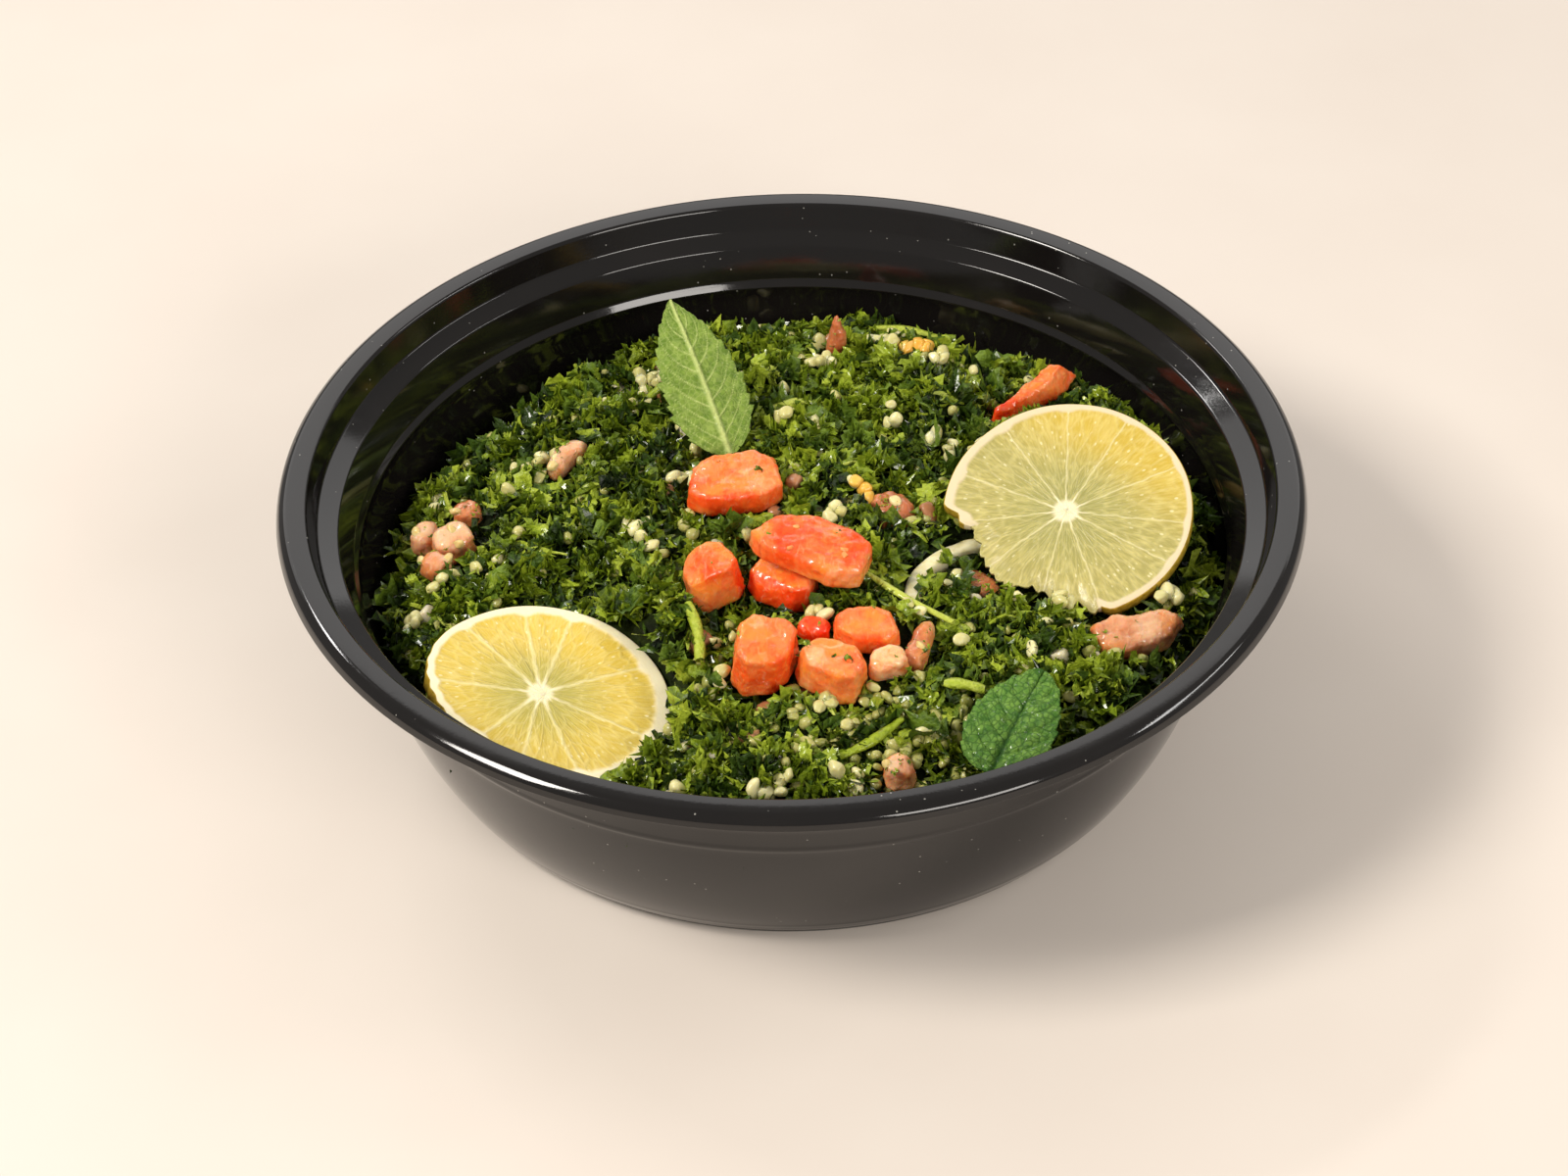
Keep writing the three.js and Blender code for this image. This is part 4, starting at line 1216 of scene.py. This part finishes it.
def make_slice(name, node, material, thickness, pith_width, tear=None, pith_sides=(0, 0)):
    """A slice: a disc whose cut face has relief, with pith and zest round it unless it is torn off."""
    origin, axis = middle_and_axis(node)
    at = frame_at(origin, axis, Vector((0, 1, 0)))
    outline = outline_of(node, at)
    turn = np.linspace(-np.pi, np.pi, SLICE_SPOKES, endpoint=False)
    degrees = np.degrees(turn)
    radius = outline(degrees)
    torn = np.zeros_like(turn)
    if tear:
        middle, span, depth = tear
        off = np.abs((degrees - middle + 180) % 360 - 180)
        torn = 1 - blend_in(off, span * 0.86, span)
        ragged = smooth_noise(np.stack([turn * 4, turn * 0, turn * 0], axis=1), 1.0, 4.1)
        jagged = smooth_noise(np.stack([turn * 24, turn * 0, turn * 0], axis=1), 1.0, 7.7)
        radius = radius - torn * (depth + 1.1 * MM * ragged + 0.9 * MM * jagged)
    pith = pith_width * (1 + pith_sides[0] * np.cos(np.radians(degrees - pith_sides[1])))
    pith = np.maximum(pith, 0.9 * MM)
    rings, edges = [], []
    for share in np.linspace(0, 1, SLICE_RINGS) ** 0.8:
        reach = share * (radius - 0.35 * MM)
        edge = 1 - (radius - reach) / (2 * pith)
        rings.append((reach, np.zeros_like(turn)))
        edges.append(np.where(torn > 0.5, np.minimum(edge, 0.25), np.clip(edge, 0, 0.86)))
    for angle in np.linspace(0.25, 1, 4) * np.pi / 2:
        drop = -0.35 * MM * (1 - np.cos(angle))
        rings.append((radius - 0.35 * MM * (1 - np.sin(angle)), np.full_like(turn, drop)))
        edges.append(np.where(torn > 0.5, 0.25, 1.0 if angle > 0.5 else 0.9))
    for share in (0.5, 1.0):
        rings.append((radius, np.full_like(turn, -0.35 * MM - (thickness - 0.7 * MM) * share)))
        edges.append(np.where(torn > 0.5, 0.25, 1.0))
    for share in (1.0, 0.9, 0.6, 0.3, 0.0):
        reach = share * (radius - 0.5 * MM)
        rings.append((reach, np.full_like(turn, -thickness)))
        edges.append(np.where(torn > 0.5, 0.2, np.clip(1 - (radius - reach) / (2 * pith), 0, 0.86)))
    reach = np.array([ring[0] for ring in rings])
    height = np.array([ring[1] for ring in rings])
    thin = torn * blend_in(reach / radius, 0.72, 1.0)
    height = height * (1 - 0.75 * thin) - 0.9 * MM * thin
    points = np.stack([reach * np.cos(turn), reach * np.sin(turn), height], axis=-1).reshape(-1, 3)
    edge = np.array(edges).ravel()
    on_top = np.repeat(np.arange(len(rings)) < SLICE_RINGS, SLICE_SPOKES)
    flesh = on_top & (edge < 0.42)
    x, y = points[:, 0] / (9 * MM), points[:, 1] / (9 * MM)
    spokes_noise = np.stack([np.tile(turn, len(rings)) * 7, x, y], axis=1)
    points[:, 2] += np.where(flesh, 0.16 * MM * smooth_noise(spokes_noise, 1.0, 1.3) - 0.12 * MM, 0)
    points[:, 2] += 0.35 * MM * smooth_noise(points, 9 * MM, 2.2)
    faces = grid_faces(len(rings), SLICE_SPOKES, wrap=True)
    piece = make_piece(name, points, faces, material, {"edge": edge}, at=at)
    merge = piece.modifiers.new("join_middle", "WELD")
    merge.merge_threshold = 0.01 * MM
    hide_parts(node)
    return piece


# The way each membrane points from the core, in degrees.
LEFT_MEMBRANES = (-22, 28, 76, 100, 133, 180, 231, 262, 292)
RIGHT_MEMBRANES = (-37, -14, 18, 53, 83, 116, 150, 180, 212, 250, 282)


def make_lemons():
    left = lemon_face("lemon_face_left", LEFT_MEMBRANES, 0.6 * MM, (-0.8 * MM, 0.3 * MM), 70,
                      (0.44, 0.38, 0.085), (0.66, 0.48, 0.08), (0.72, 0.51, 0.075), (0.93, 0.83, 0.55))
    right = lemon_face("lemon_face_right", RIGHT_MEMBRANES, 0.3 * MM, (-0.3 * MM, -0.3 * MM), 50,
                       (0.35, 0.33, 0.11), (0.41, 0.36, 0.12), (0.60, 0.43, 0.07), (0.74, 0.62, 0.40))
    make_slice("lemon_slice_left", "lemon_left", left, 3.8 * MM, 2.0 * MM, pith_sides=(0.3, -10))
    make_slice("lemon_slice_right", "lemon_right", right, 2.7 * MM, 1.45 * MM,
               tear=(-129, 52, 0.2 * MM), pith_sides=(0.3, 190))


def make_rind():
    """The strip of rind: the node's own ring piece, smoothed, with zest along its outer side."""
    node = "lemon_rind"
    points, faces, normals = remeshed(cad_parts[node].data.copy(), 0.4 * MM, 4)
    low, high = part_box(node)
    middle = np.array([high.x, low.y])
    reach = np.hypot(points[:, 0] - middle[0], points[:, 1] - middle[1])
    edge = (reach - reach.min()) / (reach.max() - reach.min())
    points = points + normals * (0.25 * MM * smooth_noise(points, 3 * MM))[:, None]
    piece = make_piece("lemon_rind_strip", points, faces, pale_pith(), {"edge": edge})
    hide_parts(node)


def remeshed(mesh, voxel, smoothing):
    """A block as a fine even mesh: its points, its faces and its normals."""
    copy = bpy.data.objects.new("block", mesh)
    bpy.context.scene.collection.objects.link(copy)
    for kind, settings in (
        ("WELD", {"merge_threshold": 0.02 * MM}),
        ("REMESH", {"mode": "VOXEL", "voxel_size": voxel}),
        ("SMOOTH", {"factor": 0.5, "iterations": smoothing}),
    ):
        modifier = copy.modifiers.new(kind.lower(), kind)
        for name, value in settings.items():
            setattr(modifier, name, value)
    shaped = bpy.data.meshes.new_from_object(copy.evaluated_get(bpy.context.evaluated_depsgraph_get()))
    bpy.data.objects.remove(copy)
    points = np.empty(len(shaped.vertices) * 3, np.float32)
    normals = np.empty(len(shaped.vertices) * 3, np.float32)
    shaped.vertices.foreach_get("co", points)
    shaped.vertices.foreach_get("normal", normals)
    faces = np.array([polygon.vertices[:] for polygon in shaped.polygons])
    return points.reshape(-1, 3), faces, normals.reshape(-1, 3)


# ------------------------------------------------------------------ mint
LEAF_ROWS, LEAF_COLUMNS = 150, 56


def leaf_frame(node):
    """A leaf's frame and length: its base at the lower end, Y to its tip and Z out of its upper side."""
    points = np.array([vertex.co[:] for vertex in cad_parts[node].data.vertices])
    centre = points.mean(0)
    along, across, up = np.linalg.svd(points - centre, full_matrices=False)[2]
    up = up if up[2] > 0 else -up
    along = along if along[2] > 0 else -along
    reach = (points - centre) @ along
    across = np.cross(along, up)
    width = np.ptp((points - centre) @ across)
    base = centre + along * reach.min()
    return frame_at(Vector(base), Vector(up), Vector(along)), np.ptp(reach), width


def make_leaf(name, node, material, outline, veins, teeth, tooth_depth, vein_lift, bulge, arch, fold, tail=0.0):
    """A leaf: toothed outline, midrib and curved side veins in relief, blistered between them."""
    at, length, width = leaf_frame(node)
    widen, base_share, tip_share = outline
    share = np.linspace(0, 1, LEAF_ROWS)[:, None]
    side = np.linspace(-1, 1, LEAF_COLUMNS)[None]
    widest = base_share / (base_share + tip_share)
    curve = lambda s: s**base_share * (1 - s) ** tip_share
    shape = curve(share) / curve(widest)
    saw = share * teeth + 0.25 * np.sign(side)
    uneven = 0.75 + 0.4 * np.sin(np.floor(saw) * 2.4)
    at_edge = blend_in(share, 0.04, 0.2) * blend_in(np.abs(side), 0.7, 1)
    tooth = tooth_depth * uneven * (saw % 1) ** 0.8 * at_edge
    half = widen * (width / 2 - 0.3 * MM) * shape * (0.93 + tooth) + 0.15 * MM
    across = side * half
    slope = share - 0.16 * np.abs(side) - 0.17 * np.abs(side) ** 3 * (1 - 0.3 * share)
    phase = slope * veins + np.where(side < 0, 0.35, 0.0)
    from_vein = np.abs((phase + 0.5) % 1 - 0.5) / veins * length
    side_vein = np.exp(-((from_vein / (0.125 * MM)) ** 2)) * (1 - 0.45 * side**4) * blend_in(share, 0.02, 0.1)
    rib_width = 0.45 * MM * (1 - 0.75 * share) + 0.08 * MM
    rib = np.exp(-((across / rib_width) ** 2))
    vein = np.maximum(side_vein * 0.85, rib)
    blister = np.sqrt(np.abs(np.sin(np.pi * phase))) * blend_in(np.abs(side), 0.02, 0.25)
    flat = np.stack([across.ravel(), np.repeat(share, LEAF_COLUMNS) * length, np.zeros(across.size)], axis=1)
    crinkle = smooth_noise(flat, 1.5 * MM, 6.1) + 0.6 * smooth_noise(flat, 0.75 * MM, 2.1)
    crinkle = crinkle.reshape(across.shape)
    height = (
        vein_lift * (side_vein * 0.5 + rib)
        + bulge * (blister + 0.9 * crinkle)
        + arch * np.sin(np.pi * share)
        + fold * np.abs(across)
        + 0.35 * MM * np.sin(share * 9 + 1) * side**2 * np.sign(side)
    )
    along = share * length * (1 + tail) - tail * length
    points = np.stack([across, np.broadcast_to(along, across.shape), height], axis=-1).reshape(-1, 3)
    faces = grid_faces(LEAF_ROWS, LEAF_COLUMNS)
    leaf = make_piece(name, points, faces, material, {"vein": vein.ravel()}, at=at)
    thick = leaf.modifiers.new("thickness", "SOLIDIFY")
    thick.thickness = 0.35 * MM
    thick.offset = 0
    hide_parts(node)
    return leaf


def make_mint():
    under = mint_surface(
        "mint_underside", (0.115, 0.20, 0.02), (0.225, 0.325, 0.05), (0.52, 0.60, 0.20), 0.16, 0.35)
    # The upper side's near-black vein colour is painted shade in its sunken veins and net.
    upper = mint_surface(
        "mint_upper_side", (0.055, 0.155, 0.016), (0.16, 0.30, 0.045), (0.014, 0.06, 0.006), 0.55, 1.2)
    make_leaf("mint_leaf_back", "mint_back", under,
              (1.03, 0.6, 0.88), 9, 14, 0.15, 0.5 * MM, 0.14 * MM, 0.8 * MM, -0.1, 0.05)
    make_leaf("mint_leaf_front", "mint_front", upper,
              (1.10, 0.34, 0.66), 6, 14, 0.07, -0.4 * MM, 0.36 * MM, 1.4 * MM, 0.04)


# ------------------------------------------------------------------ stage
CAMERA_PLACE = Vector((-1.7, -526.3, 452.0)) * MM
CAMERA_DOWN = 39.2
CAMERA_ROLL = -1.48
CAMERA_LENS = 85


def area_light(name, place, aim, size, power, colour=(1, 1, 1)):
    light = bpy.data.lights.new(name, "AREA")
    light.shape = "RECTANGLE"
    light.size, light.size_y = size
    light.energy = power
    light.color = colour
    lamp = bpy.data.objects.new(name, light)
    bpy.context.scene.collection.objects.link(lamp)
    lamp.location = place
    lamp.rotation_mode = "QUATERNION"
    lamp.rotation_quaternion = (Vector(aim) - Vector(place)).to_track_quat("-Z", "Y")
    return lamp


def make_stage():
    size = 3.0
    floor = bpy.data.meshes.new("floor")
    corners = [(-size, -size, 0), (size, -size, 0), (size, size, 0), (-size, size, 0)]
    floor.from_pydata(corners, [], [(0, 1, 2, 3)])
    floor.materials.append(pale_floor())
    piece = bpy.data.objects.new("floor", floor)
    bpy.context.scene.collection.objects.link(piece)

    world = bpy.data.worlds.new("studio")
    bpy.context.scene.world = world
    world.use_nodes = True
    world.node_tree.nodes["Background"].inputs["Color"].default_value = (1.0, 0.97, 0.93, 1)
    world.node_tree.nodes["Background"].inputs["Strength"].default_value = 0.34
    area_light("key", (-0.85, -0.30, 1.00), (0, 0, 0.03), (0.4, 0.4), 15, (1, 0.95, 0.88))
    area_light("front_fill", (0.60, -0.95, 0.60), (0, 0, 0.03), (0.6, 0.4), 8, (1, 0.95, 0.89))
    area_light("rim_strip", (-0.75, 0.95, 1.15), (0, 0, 0.04), (0.5, 0.1), 4, (1, 0.98, 0.96))
    area_light("back_panel", (0, 1.25, 0.85), (0, 0, 0.04), (2.4, 0.55), 5.0, (1, 0.98, 0.97))
    area_light("side_strip", (1.15, 0.10, 0.95), (0, 0, 0.04), (0.7, 0.1), 3.0, (1, 0.98, 0.96))
    bpy.context.scene.view_settings.view_transform = "Standard"

    camera = bpy.data.cameras.new("camera")
    camera.lens = CAMERA_LENS
    camera.sensor_width = 36
    camera.clip_start, camera.clip_end = 0.01, 20
    seen = bpy.data.objects.new("camera", camera)
    bpy.context.scene.collection.objects.link(seen)
    tilt = Matrix.Rotation(math.radians(90 - CAMERA_DOWN), 4, "X")
    roll = Matrix.Rotation(math.radians(CAMERA_ROLL), 4, "Z")
    seen.matrix_world = Matrix.Translation(CAMERA_PLACE) @ tilt @ roll
    bpy.context.scene.camera = seen


make_stage()
make_bowl()
make_heap_core()
scatter_herbs()
scatter_grains()
scatter_bits()
scatter_crumbs()
make_tomatoes()
make_lemons()
make_rind()
make_mint()
